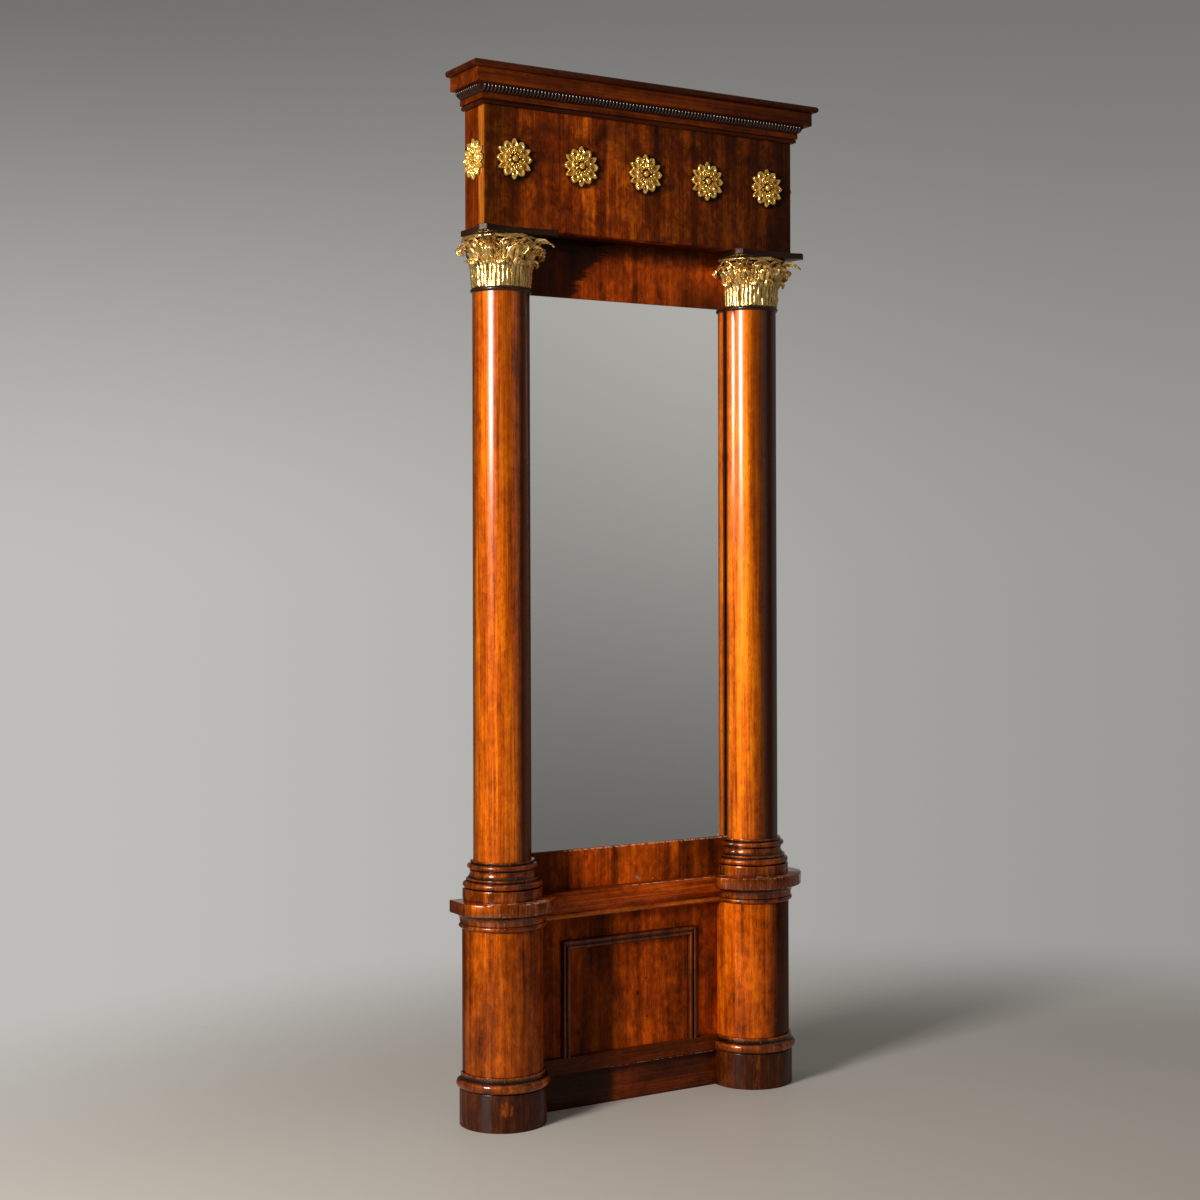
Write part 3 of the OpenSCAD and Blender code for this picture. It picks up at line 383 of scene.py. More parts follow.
def ended(f, wood):
    """Front of the frieze: painted light and shade along it, veneer joints, painted shadow round the
    rosettes, rubbed light ends.
    """
    wood = painted_light_along((-430, 0.30), (-350, 0.45), (-290, 1.15), (-118, 1.30), (-20, 0.9), (60, 0.75),
                 (240, 0.42), (430, 0.22))(f, wood)
    wood = jointed(f, wood, (-221, -79, 1, 213), 0.4, 0.6, (0.02, 0.004, 0.001))
    murk = f.noise((90, 90, 60), 41.0, 4.0, 0.65).rise(0.50, 0.66)
    wood = f.blend(murk * 0.55, wood, (0.030, 0.0055, 0.0010))
    # painted shadow round each rosette, set a little right of and below it
    for i in range(ROSETTES):
        x = ROSETTE_PITCH * (i - (ROSETTES - 1) / 2)
        painted_rosette_shadow = f.spot((x + 5 * MM, FRIEZE_LOW.y, ROSETTE_Z - 3 * MM), 50 * MM, 0.16)
        wood = f.blend(painted_rosette_shadow * 0.78, wood, (0.014, 0.0035, 0.0008))
    end = abs(f.x).rise(FRIEZE_HIGH.x - 0.9 * MM, FRIEZE_HIGH.x - 0.5 * MM)
    board = f.y.band(FRIEZE_LOW.y + 5 * MM, FRIEZE_LOW.y + 40 * MM, 2.0 * MM)
    worn = f.noise((4, 4, 110), 14.0, 3.0, 0.6).rise(0.36, 0.60)
    return f.blend(end * board * (worn * 0.7 + 0.28), wood, (0.60, 0.175, 0.016))


def shaded(f, wood):
    """The returns of the frieze are darker all over."""
    return f.blend(1.0, wood, (0.62, 0.60, 0.52), "MULTIPLY")


def railed(f, wood):
    """Painted light and shade along the lower rail, veneer joints, a bruise and a rubbed arris."""
    wood = painted_light_along((-430, 0.45), (-165, 0.6), (-152, 2.5), (-110, 2.3), (60, 1.6), (122, 1.5),
                 (145, 0.9), (430, 0.6))(f, wood)
    wood = jointed(f, wood, (-133.8, -97.1, -1.2), 0.3, 0.7, (0.03, 0.006, 0.001))
    bruise = ((17.6, 506.5, 5), (39.2, 486.3, 5), (22, 503, 4), (60, 500, 3))
    wood = spotted(f, wood, "bottom_rail", bruise, 1.0, (0.55, 0.36, 0.18))
    return rubbed(f, wood, "bottom_rail", levels("bottom_rail")[1], -170, 330, 1.0, 2.6)


def panelled(f, wood):
    """Painted light and shade along the panel, bright in its middle, dirty lines with painted shade beside
    its mouldings, a painted shadow right of the right moulding, and a few old spots.
    """
    wood = painted_light_along((-430, 0.8), (-150, 0.95), (-95, 0.42), (-48, 0.42), (-18, 1.5), (50, 1.8),
                 (130, 1.4), (430, 1.1))(f, wood)
    murk = f.noise((70, 70, 90), 43.0, 4.0, 0.65).rise(0.50, 0.68)
    wood = f.blend(murk * 0.5, wood, (0.020, 0.0045, 0.0008))
    inner = -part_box("panel_mould_left")[1].x
    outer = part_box("panel_mould_right")[1].x
    head_low, head_high = levels("panel_mould_top")

    def before(away):
        return away.band(-2.6 * MM, 0.4 * MM, 0.8 * MM)

    def behind(away):
        return away.band(-0.4 * MM, 2.6 * MM, 0.8 * MM)

    # dirty lines beside the mouldings with painted shade in them, and a painted shadow right of the right
    # moulding
    sides = before(abs(f.x) - inner).most(behind(abs(f.x) - outer))
    head = behind(f.z - head_high).most(before(f.z - head_low))
    between = 1 - abs(f.x).rise(outer, outer + 3 * MM)
    below = 1 - f.z.rise(head_high, head_high + 3 * MM)
    shade = (f.x - outer).band(0, 13 * MM, 3 * MM) * 0.85
    dirt_and_shade = (sides.most(shade) * below).most(head * between)
    wood = f.blend(dirt_and_shade * 0.8, wood, (0.008, 0.002, 0.0006))
    spots = ((23, 239, 7), (45, 271, 4), (47.5, 183, 4), (111, 159, 4), (-60, 205, 3))
    return spotted(f, wood, "dado_board", spots, 0.8, (0.030, 0.005, 0.001))


def stripped(f, wood):
    """Painted light and shade along the strip over the plinth, and its rubbed arris."""
    wood = painted_light_along((-430, 0.45), (-100, 0.6), (-40, 1.2), (430, 1.1))(f, wood)
    return rubbed(f, wood, "base_strip", levels("base_strip")[0], -60, 330, 3.0, 1.0)


def ledged(f, wood):
    """Ledge: painted light, brighter to the right; dusty dark on top, with a rubbed front arris."""
    wood = painted_light_along((-430, 0.8), (-150, 1.0), (0, 1.75), (430, 1.6))(f, wood)
    top = levels("ledge_board")[1]
    dust = f.z.rise(top - 0.9 * MM, top - 0.2 * MM)
    wood = f.blend(dust * 0.68, wood, (0.040, 0.0080, 0.0010))
    return rubbed(f, wood, "ledge_board", top, -20, 330, 4.0, 0.8)


def burred(f, wood):
    """Dark feet: a warm burl on the left one, warm streaks on the right, a painted grey reflection at the
    outer left.
    """
    flame = f.noise((6, 6, 24), 11.0, 4.0, 0.7, 0.2)
    burl = f.spot((-381 * MM, FOOT_LOW.y, 52 * MM), 44 * MM, 0.95)
    burl = burl.most(f.x.band(276 * MM, 304 * MM, 10 * MM) * 0.6)
    figure = (burl * 0.65 + flame * 1.5 - 1.08).rise(0.0, 0.42)
    wood = f.blend(figure * 0.8, wood, (0.36, 0.078, 0.003))
    # painted reflection: a grey stripe down the outer left side of the left foot
    painted_rim_reflection = f.x.band(-415 * MM, -401 * MM, 5 * MM) * (1 - f.z.rise(88 * MM, 96 * MM))
    return f.blend(painted_rim_reflection * 0.7, wood, (0.050, 0.030, 0.028))


def painted_column_shade(side, away, wall, dirt_and_shade=0.93, low=-2, high=22):
    """Darkening of a column: painted shade away from the lamp, over low to high mm, and towards the wall;
    darker high up on its lit side; painted shade, near black, at the glass.
    """
    def marks(f, wood):
        across = f.x - side * COLUMN_X
        # painted shade on the side turned from the lamp, and towards the wall
        far = across.rise(low * MM, high * MM) * away
        back = f.y.rise(COLUMN_Y - 17 * MM, COLUMN_Y + 14 * MM) * (1 - across.rise(-10 * MM, 0.0))
        # darker high up on the lit side
        darker_high_up = f.z.rise(0.95, 1.75) * across.band(-36 * MM, -6 * MM, 10 * MM)
        wood = f.blend(darker_high_up * 0.45, wood, (0.13, 0.020, 0.0006))
        wood = f.blend(far.most(back * wall), wood, (0.022, 0.0040, 0.0008))
        # painted shade, near black, where the column meets the glass
        glass = front("mirror_glass")
        inner = (across * -side).rise(20 * MM, 30 * MM)
        housed = f.y.rise(glass - 11 * MM, glass - 6 * MM) * inner
        return f.blend(housed * dirt_and_shade, wood, (0.006, 0.002, 0.001))
    return marks


def capped(f, wood):
    """Rubbed arrises and scratches of the pedestal caps."""
    low, top = levels("cap_left")
    slab = low + CAP_BEVEL
    chips = f.noise((14, 14, 60), 31.0, 4.0, 0.75).rise(0.52, 0.58)
    upper = f.z.band(top - 2.6 * MM, top + 1 * MM, 0.5 * MM)
    lower = f.z.band(slab - 1 * MM, slab + 1.8 * MM, 0.5 * MM)
    outer = 1 - f.y.rise(COLUMN_Y - 78 * MM, COLUMN_Y - 74 * MM)
    scratch = f.noise((2.4, 2.4, 26), 33.0, 2.0, 0.6, 1.5).rise(0.66, 0.70)
    bare = (upper.most(lower) * outer * chips).most(scratch * 0.6)
    return f.blend(bare * 0.8, wood, (0.66, 0.42, 0.22))


def overhung(f, wood):
    """Upper rail: painted light and shade along it, a painted shadow under the overhanging frieze, a jagged
    painted shadow to the left and painted shade low on the right.
    """
    wood = painted_light_along((-430, 1.9), (-60, 2.0), (40, 2.1), (120, 1.7), (430, 1.6))(f, wood)
    low, top = levels("top_rail")
    # painted shadow with a jagged edge over the left of the rail
    jagged_shadow_noise = f.noise((240, 240, 8), 37.0, 3.0, 0.6)
    edge = (f.z - low) * 0.85 + (jagged_shadow_noise - 0.5) * 110 * MM - 160 * MM
    left = 1 - (f.x - edge).rise(-9 * MM, 9 * MM)
    # painted shade low on the right
    right = f.x.rise(50 * MM, 190 * MM) * (1 - f.z.rise(low + 10 * MM, low + 75 * MM)) * 0.7
    wood = f.blend((left * 0.86).most(right), wood, (0.020, 0.005, 0.0008))
    # painted shadow under the overhanging frieze, uneven along its lower edge
    overhang_shadow_noise = f.noise((40, 40, 20), 35.0, 3.0, 0.6)
    dark = (f.z + (overhang_shadow_noise - 0.5) * 40 * MM).rise(top - 50 * MM, top - 16 * MM)
    return f.blend(dark * 0.85, wood, (0.012, 0.003, 0.0008))


def worn_horns(f, wood):
    """The horns of the abacus are rubbed through to the wood."""
    away = abs(abs(f.x) - COLUMN_X)
    horn = away.rise(80 * MM, 96 * MM) * (COLUMN_Y - 70 * MM - f.y).rise(0.0, 12 * MM)
    chips = f.noise((5, 5, 5), 12.0, 3.0, 0.6).rise(0.50, 0.56)
    return f.blend(horn * chips, wood, (0.15, 0.055, 0.022))


def reed_gloss(f):
    """The reeds of the front keep more polish than those of the returns."""
    return 0.8 - f.y.rise(-38 * MM, -32 * MM) * 0.55


# ---- The finishes of this mirror: dark, middle and light tone of each wood ----

VENEERED = ((0.054, 0.0100, 0.0006), (0.270, 0.0380, 0.0012), (0.560, 0.0980, 0.0030))
CORNICE_DARK = (0.035, 0.005, 0.0006)
OF_SHAFTS = {"figure": 12, "run": 520, "gloss": 1.0, "polish": 0.20}
OF_DRUMS = {"figure": 16, "run": 300, "gloss": 0.35, "polish": 0.20}

# The right shaft and drum are lighter copies of the left ones: painted light. Their marks paint shade away
# from the lamp.
SHAFT = {
    "left": mahogany("polished_shaft_left", (0.17, 0.024, 0.0007), (0.60, 0.112, 0.0016),
                     (0.95, 0.260, 0.0040), seed=1.0, sheen=0.70, marks=painted_column_shade(-1, 0.88, 0.62), **OF_SHAFTS),
    "right": mahogany("polished_shaft_right_painted_lighter", (0.20, 0.029, 0.0008), (0.72, 0.142, 0.0020),
                      (0.98, 0.300, 0.0050), seed=1.4, sheen=0.78, body=0.56,
                      marks=painted_column_shade(1, 0.93, 0.0, low=-32, high=4), **OF_SHAFTS)}
DRUM = {
    "left": mahogany("polished_drum_left", (0.070, 0.011, 0.0006), (0.33, 0.056, 0.0014),
                     (0.66, 0.140, 0.0032), seed=2.0, sheen=0.62, mottle=0.10,
                     marks=painted_column_shade(-1, 0.15, 0.75, 0.0), **OF_DRUMS),
    "right": mahogany("polished_drum_right_painted_lighter", (0.12, 0.018, 0.0008), (0.60, 0.102, 0.0018),
                      (0.96, 0.230, 0.0044), seed=2.4, sheen=0.66, mottle=0.12,
                      marks=painted_column_shade(1, 0.90, 0.0, 0.0, -22, 20), **OF_DRUMS)}
TURNED = mahogany("turned_moulding", (0.040, 0.0055, 0.0004), (0.23, 0.039, 0.0012),
                  (0.56, 0.122, 0.0040), figure=22, run=70, seed=3.0, sheen=0.62, body=0.46,
                  gloss=0.9, marks=capped)
FOOT = mahogany("dark_foot", (0.014, 0.0030, 0.0010), (0.060, 0.010, 0.0016),
                (0.14, 0.026, 0.0022), figure=12, run=60, seed=4.0, gloss=0.5, polish=0.2,
                marks=burred)
# painted shadow over the left of the plinth and painted light in its middle
PLINTH = mahogany("plinth_wood", (0.020, 0.0035, 0.0012), (0.090, 0.014, 0.0020),
                  (0.22, 0.038, 0.0030), seed=4.5, gloss=0.3, polish=0.2, way="x",
                  marks=painted_light_along((-430, 0.25), (-55, 0.35), (-35, 2.3), (14, 2.1), (45, 1.3), (430, 1.1)))
VENEER = mahogany("frieze_veneer", (0.030, 0.0035, 0.0003), (0.25, 0.036, 0.0011),
                  (0.72, 0.145, 0.0040), figure=34, run=700, seed=5.0, marks=ended, mottle=0.10)
RETURN = mahogany("return_veneer", *VENEERED, figure=34, run=700, seed=5.5, marks=shaded)
RAIL = mahogany("rail_veneer", *VENEERED, figure=22, seed=6.0, marks=overhung, mottle=0.13)
LOW_RAIL = mahogany("low_rail_veneer", *VENEERED, figure=22, seed=6.5, marks=railed, mottle=0.15)
DADO = mahogany("dado_veneer", *VENEERED, figure=30, seed=7.0, marks=panelled, mottle=0.13)
# the bead is lighter than the boards so it shows as a bright line: painted highlight; painted light and
# shade along it
BEAD_PAINTED_BRIGHT = mahogany("run_moulding_painted_bright", VENEERED[0], (0.42, 0.075, 0.002), (0.85, 0.22, 0.006),
                    seed=8.0, way="x", gloss=0.6,
                    marks=painted_light_along((-430, 0.5), (-150, 0.9), (20, 1.1), (430, 1.1)))
MITRED = mahogany("panel_moulding_wood", (0.020, 0.003, 0.0004), (0.13, 0.021, 0.0010),
                  (0.34, 0.065, 0.0024), seed=8.2, gloss=0.9)
STRIP = mahogany("dark_moulding", VENEERED[0], (0.12, 0.018, 0.0010), (0.26, 0.045, 0.0020),
                 seed=8.5, way="x", gloss=0.25, marks=stripped)
LEDGE = mahogany("ledge_wood", *VENEERED, seed=8.8, way="x", gloss=0.25, marks=ledged)
# painted light and shade along the fascia and the corona
FASCIA = mahogany("fascia_wood", CORNICE_DARK, (0.18, 0.028, 0.0014), (0.40, 0.075, 0.0028),
                  seed=8.9, way="x", marks=painted_light_along((-430, 0.7), (-100, 1.1), (430, 0.9)))
CORNICE = mahogany("cornice_wood", CORNICE_DARK, (0.135, 0.021, 0.0014), (0.27, 0.048, 0.0024),
                   seed=9.0, way="x", marks=painted_light_along((-430, 1.0), (-100, 1.15), (430, 0.55)))
TOP = mahogany("top_wood", (0.020, 0.004, 0.0010), (0.060, 0.011, 0.0020), (0.12, 0.024, 0.0030),
               seed=9.5, way="x", gloss=0.3, polish=0.2)
BLACK = black_wood("ebonised_wood", 1.0)
REED = black_wood("ebonised_reeds", 2.0, gloss=reed_gloss, brown=1.25)
# the ground between the reeds is darker and matte so the gaps read dark: painted shade
GROUND = black_wood("ground_of_reeds", 2.5, gloss=0.0)
HORN = black_wood("worn_abacus", 3.0, worn_horns, gloss=0.0)
GILT = gilding("leaf_gilding", 1.0)
ROSE_GILT = gilding("rosette_gilding", 2.0, 0.58, 0.66, 0.11)
SILVER = silvering()
PINE = softwood("old_pine", 1.0, "x")
PINE_UP = softwood("old_pine_upright", 2.0, "z")
IRON = iron()


# ---- Making pieces ----

def placed(name, thing):
    """An object in the scene, from a mesh, a lamp or a camera."""
    piece = bpy.data.objects.new(name, thing)
    bpy.context.scene.collection.objects.link(piece)
    return piece


def build(name, verts, faces):
    """A mesh object from points and faces."""
    mesh = bpy.data.meshes.new(name)
    mesh.from_pydata([tuple(v) for v in verts], [], faces)
    return placed(name, mesh)


def quads(rows, width, start=0, closed=True):
    """Faces between rows of points, each row closed to a ring or left open."""
    low = [start + row * width for row in range(rows)]
    return [(a + i, a + (i + 1) % width, b + (i + 1) % width, b + i)
            for a, b in zip(low, low[1:]) for i in range(width if closed else width - 1)]


def skin(rows, width):
    """Faces of a run of rings with a cap at each end."""
    count = rows * width
    return quads(rows, width) + [tuple(range(width)), tuple(range(count - width, count))]


@contextmanager
def opened(mesh):
    """A mesh opened for work, which is written back at the end."""
    shell = bmesh.new()
    shell.from_mesh(mesh)
    yield shell
    shell.to_mesh(mesh)
    shell.free()


def smooth(mesh, sharp):
    """Shades a mesh smooth but for the edges above an angle."""
    mesh.shade_smooth()
    mesh.set_sharp_from_angle(angle=math.radians(sharp))


def tidy(piece, sharp=35, merge=0.01 * MM, flip=True):
    """Closes the seams, points the faces outward and shades round forms smooth."""
    with opened(piece.data) as shell:
        bmesh.ops.remove_doubles(shell, verts=shell.verts, dist=merge)
        bmesh.ops.dissolve_degenerate(shell, edges=shell.edges, dist=merge)
        if flip:
            bmesh.ops.recalc_face_normals(shell, faces=shell.faces)
    smooth(piece.data, sharp)


def deepened(piece, depth):
    """Keeps on each point how deep it lies in a crease; the finish darkens deep points, as dirty patina and
    painted shade.
    """
    piece.data.attributes.new(HOLLOW, "FLOAT", "POINT").data.foreach_set("value", depth)


def bevelled(piece, width):
    """Rubs down the arrises."""
    bevel = piece.modifiers.new("rubbed_arris", "BEVEL")
    bevel.width = width
    bevel.segments = 3
    bevel.limit_method = "ANGLE"
    bevel.angle_limit = math.radians(40)
    bevel.harden_normals = True


def worked_in(piece):
    """The mesh of a piece with its modifiers worked in."""
    graph = bpy.context.evaluated_depsgraph_get()
    graph.update()
    return bpy.data.meshes.new_from_object(piece.evaluated_get(graph))


def joined(name, pieces):
    """One piece from several, with their modifiers worked in."""
    whole = bmesh.new()
    for piece in pieces:
        mesh = worked_in(piece)
        whole.from_mesh(mesh)
        bpy.data.meshes.remove(mesh)
    mesh = bpy.data.meshes.new(name)
    whole.to_mesh(mesh)
    whole.free()
    for piece in pieces:
        bpy.data.objects.remove(piece)
    smooth(mesh, 35)
    return placed(name, mesh)


def seat(piece, finish, slot, *nodes):
    """Gives a piece its finish and sets it in the frame in place of its nodes."""
    piece.data.materials.clear()
    piece.data.materials.append(finish)
    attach(piece, BODY)
    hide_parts(*nodes)


# ---- Profiles, as pairs of a height and a radius ----

def eased(profile, radius):
    """A profile with each corner rounded."""
    out = [profile[0]]
    for before, corner, after in zip(profile, profile[1:], profile[2:]):
        here = Vector(corner)
        back = Vector(before) - here
        on = Vector(after) - here
        if back.length < 1e-9 or on.length < 1e-9 or abs(back.angle(on) - math.pi) < 0.30:
            out.append(corner)
            continue
        start = here + back.normalized() * min(radius, back.length * 0.45)
        end = here + on.normalized() * min(radius, on.length * 0.45)
        for t in (0, 1 / 3, 2 / 3, 1):
            out.append(tuple(start * (1 - t) ** 2 + here * 2 * t * (1 - t) + end * t ** 2))
    out.append(profile[-1])
    return out


def drum(ease):
    """Plain drum with eased rims."""
    def profile(low, high, r):
        inner = r - 3 * MM
        return eased([(low, inner), (low, r), (high, r), (high, inner)], ease)
    return profile


def torus(low, high, r):
    """Half-round nose that stands out to r."""
    half = (high - low) / 2
    turns = [math.pi * i / 12 for i in range(13)]
    return [(low + half - half * math.cos(a), r - half + half * math.sin(a)) for a in turns]


def scotia(z0, r0, z1, r1, r_min):
    """Hollow between two radii that draws in to r_min."""
    out = []
    for i in range(11):
        t = i / 10
        straight = r0 + (r1 - r0) * t
        out.append((z0 + (z1 - z0) * t, straight - (min(r0, r1) - r_min) * math.sin(math.pi * t)))
    return out


def ringed_torus(low, high, r):
    """Torus with a small fillet on it."""
    fillet = high - 10 * MM
    neck = r - 11 * MM
    return torus(low, fillet, r) + eased([(fillet, neck), (high, neck), (high, r - 14 * MM)], 0.8 * MM)


def tapered(low, high, r):
    """Shaft that draws in by 1 mm over its height."""
    slope = [(low + (high - low) * i / 12, r - 1.0 * MM * i / 12) for i in range(1, 13)]
    return [(low, r - 3 * MM), (low, r)] + slope


ATTIC_BASE = [("plinth", 23.5, 89.0), ("torus", 16.5, 88.5), ("fillet", 6.0, 81.0),
              ("hollow", 13.5, 70.0), ("fillet", 5.5, 72.5), ("torus", 12.5, 78.5),
              ("fillet", 6.5, 71.0)]    # height and radius of each member in mm
EASES = {"plinth": 4.0 * MM, "fillet": 0.9 * MM}


def attic_base(z, *_):
    """Plinth, torus, hollow and upper torus between fillets, each with its own height and radius."""
    profile = []
    for i, (kind, height, radius) in enumerate(ATTIC_BASE):
        top = z + height * MM
        r = radius * MM
        if kind == "torus":
            profile += torus(z, top, r)
        elif kind == "hollow":
            below = ATTIC_BASE[i - 1][2] * MM
            above = ATTIC_BASE[i + 1][2] * MM
            profile += scotia(z, below - 3 * MM, top, above - 1.0 * MM, r)
        else:
            profile += drum(EASES[kind])(z, top, r)
        z = top
    return profile


# ---- Columns ----

CREASE_SPAN = 2.8 * MM                 # how far above and below a crease is looked for
CREASE_DEPTH = 4 * MM                  # a crease this deep is at its darkest: dirty, and painted in shade


def plan(r, housing_y, count=96):
    """Plan of a turned piece. x runs towards the middle of the mirror, y to the wall."""
    cut = housing_y - COLUMN_Y
    start = -math.acos(-BACK / r)
    end = math.acos(-cut / r)
    turns = [start + (end - start) * i / count for i in range(count + 1)]
    return [(r * math.sin(a), -r * math.cos(a)) for a in turns] + [(HOUSING_X, cut), (HOUSING_X, BACK)]


def loft(name, side, rings):
    """Skins a pile of plans, each a height and its points, and marks its creases."""
    verts = []
    depth = []
    reaches = [(z, max(-y for _, y in points)) for z, points in rings]
    for (z, points), (_, here) in zip(rings, reaches):
        verts += [(side * (COLUMN_X - x), COLUMN_Y + y, z) for x, y in points]
        near = max(out for height, out in reaches if abs(height - z) < CREASE_SPAN)
        depth += [max(0.0, min(1.0, (near - here) / CREASE_DEPTH))] * len(points)
    piece = build(name, verts, skin(len(rings), len(rings[0][1])))
    deepened(piece, depth)
    tidy(piece)
    return piece


def turned(word, node, name, profile, board, finish, slot="mahogany", clear=FIT, count=96):
    """A turned piece of one column, housed round the end of a board."""
    node = f"{node}_{word}"
    housing_y = front(board) - clear
    rings = [(z, plan(r, housing_y, count)) for z, r in profile(*levels(node), reach(node))]
    seat(loft(f"{name}_{word}", SIDES[word], rings), finish, slot, node)


for word in SIDES:
    turned(word, "foot", "foot_drum", drum(2.2 * MM), "base_board", FOOT)
    turned(word, "foot_ring", "foot_torus", ringed_torus, "base_strip", TURNED)
    turned(word, "pedestal", "pedestal_drum", drum(0.8 * MM), "dado_board", DRUM[word])
    turned(word, "pedestal_bead", "pedestal_astragal", torus, "ledge_bead", TURNED)
    turned(word, "shaft", "column_shaft", tapered, "mirror_glass", SHAFT[word],
           clear=GLASS_FIT, count=112)
    turned(word, "necking", "column_necking", torus, "mirror_glass", BLACK, "black_wood", GLASS_FIT)

for word in SIDES:
    turned(word, "column_base", "column_attic_base", attic_base, "bottom_rail", TURNED, count=112)


# ---- Caps of the pedestals ----

def pedestal_cap(word, side):
    """Hollow bevel and the bowed slab on it."""
    low, high = levels(f"cap_{word}")
    box_low, box_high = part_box(f"cap_{word}")
    slab = low + CAP_BEVEL
    ledge_front = front("ledge_board")
    bevel_front = ledge_front + 14 * MM
    fillet, hollow, foot_r, swing = 2.5, 19.0, 95.6, 15.4
    cove = [(low, 92 * MM), (low, 95 * MM), (low + fillet * MM, foot_r * MM)]
    for i in range(1, 9):
        t = i / 8
        out = swing * (1 - math.sqrt(1 - 0.92 * t * t))
        cove.append((low + (fillet + hollow * t) * MM, (foot_r + out) * MM))
    cove.append((slab, 110.5 * MM))

    def ledge_line(z):
        return bevel_front + (ledge_front - bevel_front) * (z - low) / (slab - low) - FIT

    bevel = loft("bevel", side, [(z, plan(r, ledge_line(z))) for z, r in cove])

    half = (box_high.x - box_low.x) / 2
    bow_front = reach(f"cap_{word}")
    side_front = 38 * MM
    bow = bow_front - side_front
    bow_r = (half ** 2 + bow ** 2) / (2 * bow)
    sweep = math.asin(half / bow_r)
    cut = ledge_front - COLUMN_Y - FIT
    outline = [(-half, BACK)]
    outline += [(bow_r * math.sin(a), bow_r - bow_front - bow_r * math.cos(a))
                for a in [sweep * (i / 24 - 1) for i in range(49)]]
    outline += [(half, cut), (HOUSING_X, cut), (HOUSING_X, BACK)]
    plate = loft("slab", side, [(slab, outline), (high, outline)])
    bevelled(plate, 2.0 * MM)
    return joined(f"pedestal_cap_{word}", [bevel, plate])


for word, side in SIDES.items():
    seat(pedestal_cap(word, side), TURNED, "mahogany", f"cap_{word}")


# ---- Boards and run mouldings ----

def worked(node, name, finish, arris=0, slot="mahogany"):
    """A copy of a carcase piece with its arrises rubbed down by so many mm."""
    mesh = NODES[node].data.copy()
    with opened(mesh) as shell:
        bmesh.ops.remove_doubles(shell, verts=shell.verts, dist=0.005 * MM)
        bmesh.ops.dissolve_limit(shell, angle_limit=math.radians(1), verts=shell.verts,
                                 edges=shell.edges)
    smooth(mesh, 35)
    piece = placed(name, mesh)
    if arris:
        bevelled(piece, arris * MM)
    seat(piece, finish, slot, node)


worked("base_board", "plinth_board", PLINTH, 1.6)
worked("base_strip", "plinth_strip", STRIP, 1.6)
worked("dado_board", "dado_panel", DADO, 0.5)
for end in ("left", "right", "top"):
    worked(f"panel_mould_{end}", f"panel_moulding_{end}", MITRED)
worked("ledge_bead", "ledge_astragal", BEAD_PAINTED_BRIGHT)
worked("ledge_board", "ledge_moulding", LEDGE, 1.2)
worked("bottom_rail", "glass_rail_low", LOW_RAIL, 1.0)
worked("top_rail", "glass_rail_high", RAIL, 1.0)
worked("frieze_front", "frieze_board", VENEER, 0.8)
for end in SIDES:
    worked(f"frieze_{end}", f"frieze_return_{end}", RETURN, 0.6)
for end in ENDS:
    worked(f"cornice_foot_{end}", f"cornice_foot_moulding_{end}", TOP, slot="black_wood")
    worked(f"cornice_fascia_{end}", f"cornice_fillet_{end}", FASCIA, 0.6)
    worked(f"corona_{end}", f"cornice_corona_{end}", CORNICE, 0.8)
worked("top_slab", "cornice_top_board", TOP, slot="black_wood")


# ---- Geometry Nodes helpers ----

SOCKETS = {float: "NodeSocketFloat", int: "NodeSocketInt", bpy.types.Object: "NodeSocketObject",
           bpy.types.Material: "NodeSocketMaterial"}


def grown(name, grow, values):
    """Runs a node tree once and keeps its result as a plain mesh."""
    tree = bpy.data.node_groups.new(name, "GeometryNodeTree")
    tree.interface.new_socket("Geometry", in_out="OUTPUT", socket_type="NodeSocketGeometry")
    for key, value in values.items():
        kind = next(socket for kept, socket in SOCKETS.items() if isinstance(value, kept))
        tree.interface.new_socket(key, in_out="INPUT", socket_type=kind)
    sheet = Sheet(tree)
    start = tree.nodes.new("NodeGroupInput")
    given = {key: Wire(sheet, start.outputs[key]) for key in values}
    solid = sheet.node("GeometryNodeRealizeInstances", None, {0: grow(sheet, given)})
    dressed = sheet.node("GeometryNodeSetMaterial", None, {0: solid, "Material": given["Finish"]})
    end = tree.nodes.new("NodeGroupOutput")
    tree.links.new(dressed.socket, end.inputs[0])

    carrier = build(name + "_carrier", [(0, 0, 0)], [])
    growth = carrier.modifiers.new(name, "NODES")
    growth.node_group = tree
    for item in tree.interface.items_tree:
        if item.in_out == "INPUT":
            growth[item.identifier] = values[item.name]
    mesh = worked_in(carrier)
    mesh.name = name
    bpy.data.objects.remove(carrier)
    return placed(name, mesh)


def row(sheet, given, copy):
    """A row of copies along x."""
    line = sheet.node("GeometryNodeMeshLine", None,
                      {"Count": given["Count"], "Start Location": sheet.vector(given["Start"], 0.0, 0.0),
                       "Offset": sheet.vector(given["Pitch"], 0.0, 0.0)})
    return sheet.node("GeometryNodeInstanceOnPoints", None, {0: line, "Instance": copy})


def ornament_of(sheet, given):
    """The geometry of the ornament that a tree copies."""
    model = sheet.node("GeometryNodeObjectInfo", {"transform_space": "ORIGINAL"},
                       {0: given["Ornament"]})
    return Wire(sheet, next(s for s in model.socket.node.outputs if s.name == "Geometry"))


def ring_tree(sheet, given):
    """Copies of an ornament set round the z axis."""
    line = sheet.node("GeometryNodeMeshLine", None, {"Count": given["Count"], "Offset": (0.0, 0.0, 0.0)})
    turn = given["Turn"] + sheet.node("GeometryNodeInputIndex") * given["Step"]
    return sheet.node("GeometryNodeInstanceOnPoints", None,
                      {0: line, "Instance": ornament_of(sheet, given),
                       "Rotation": sheet.vector(0.0, 0.0, turn)})


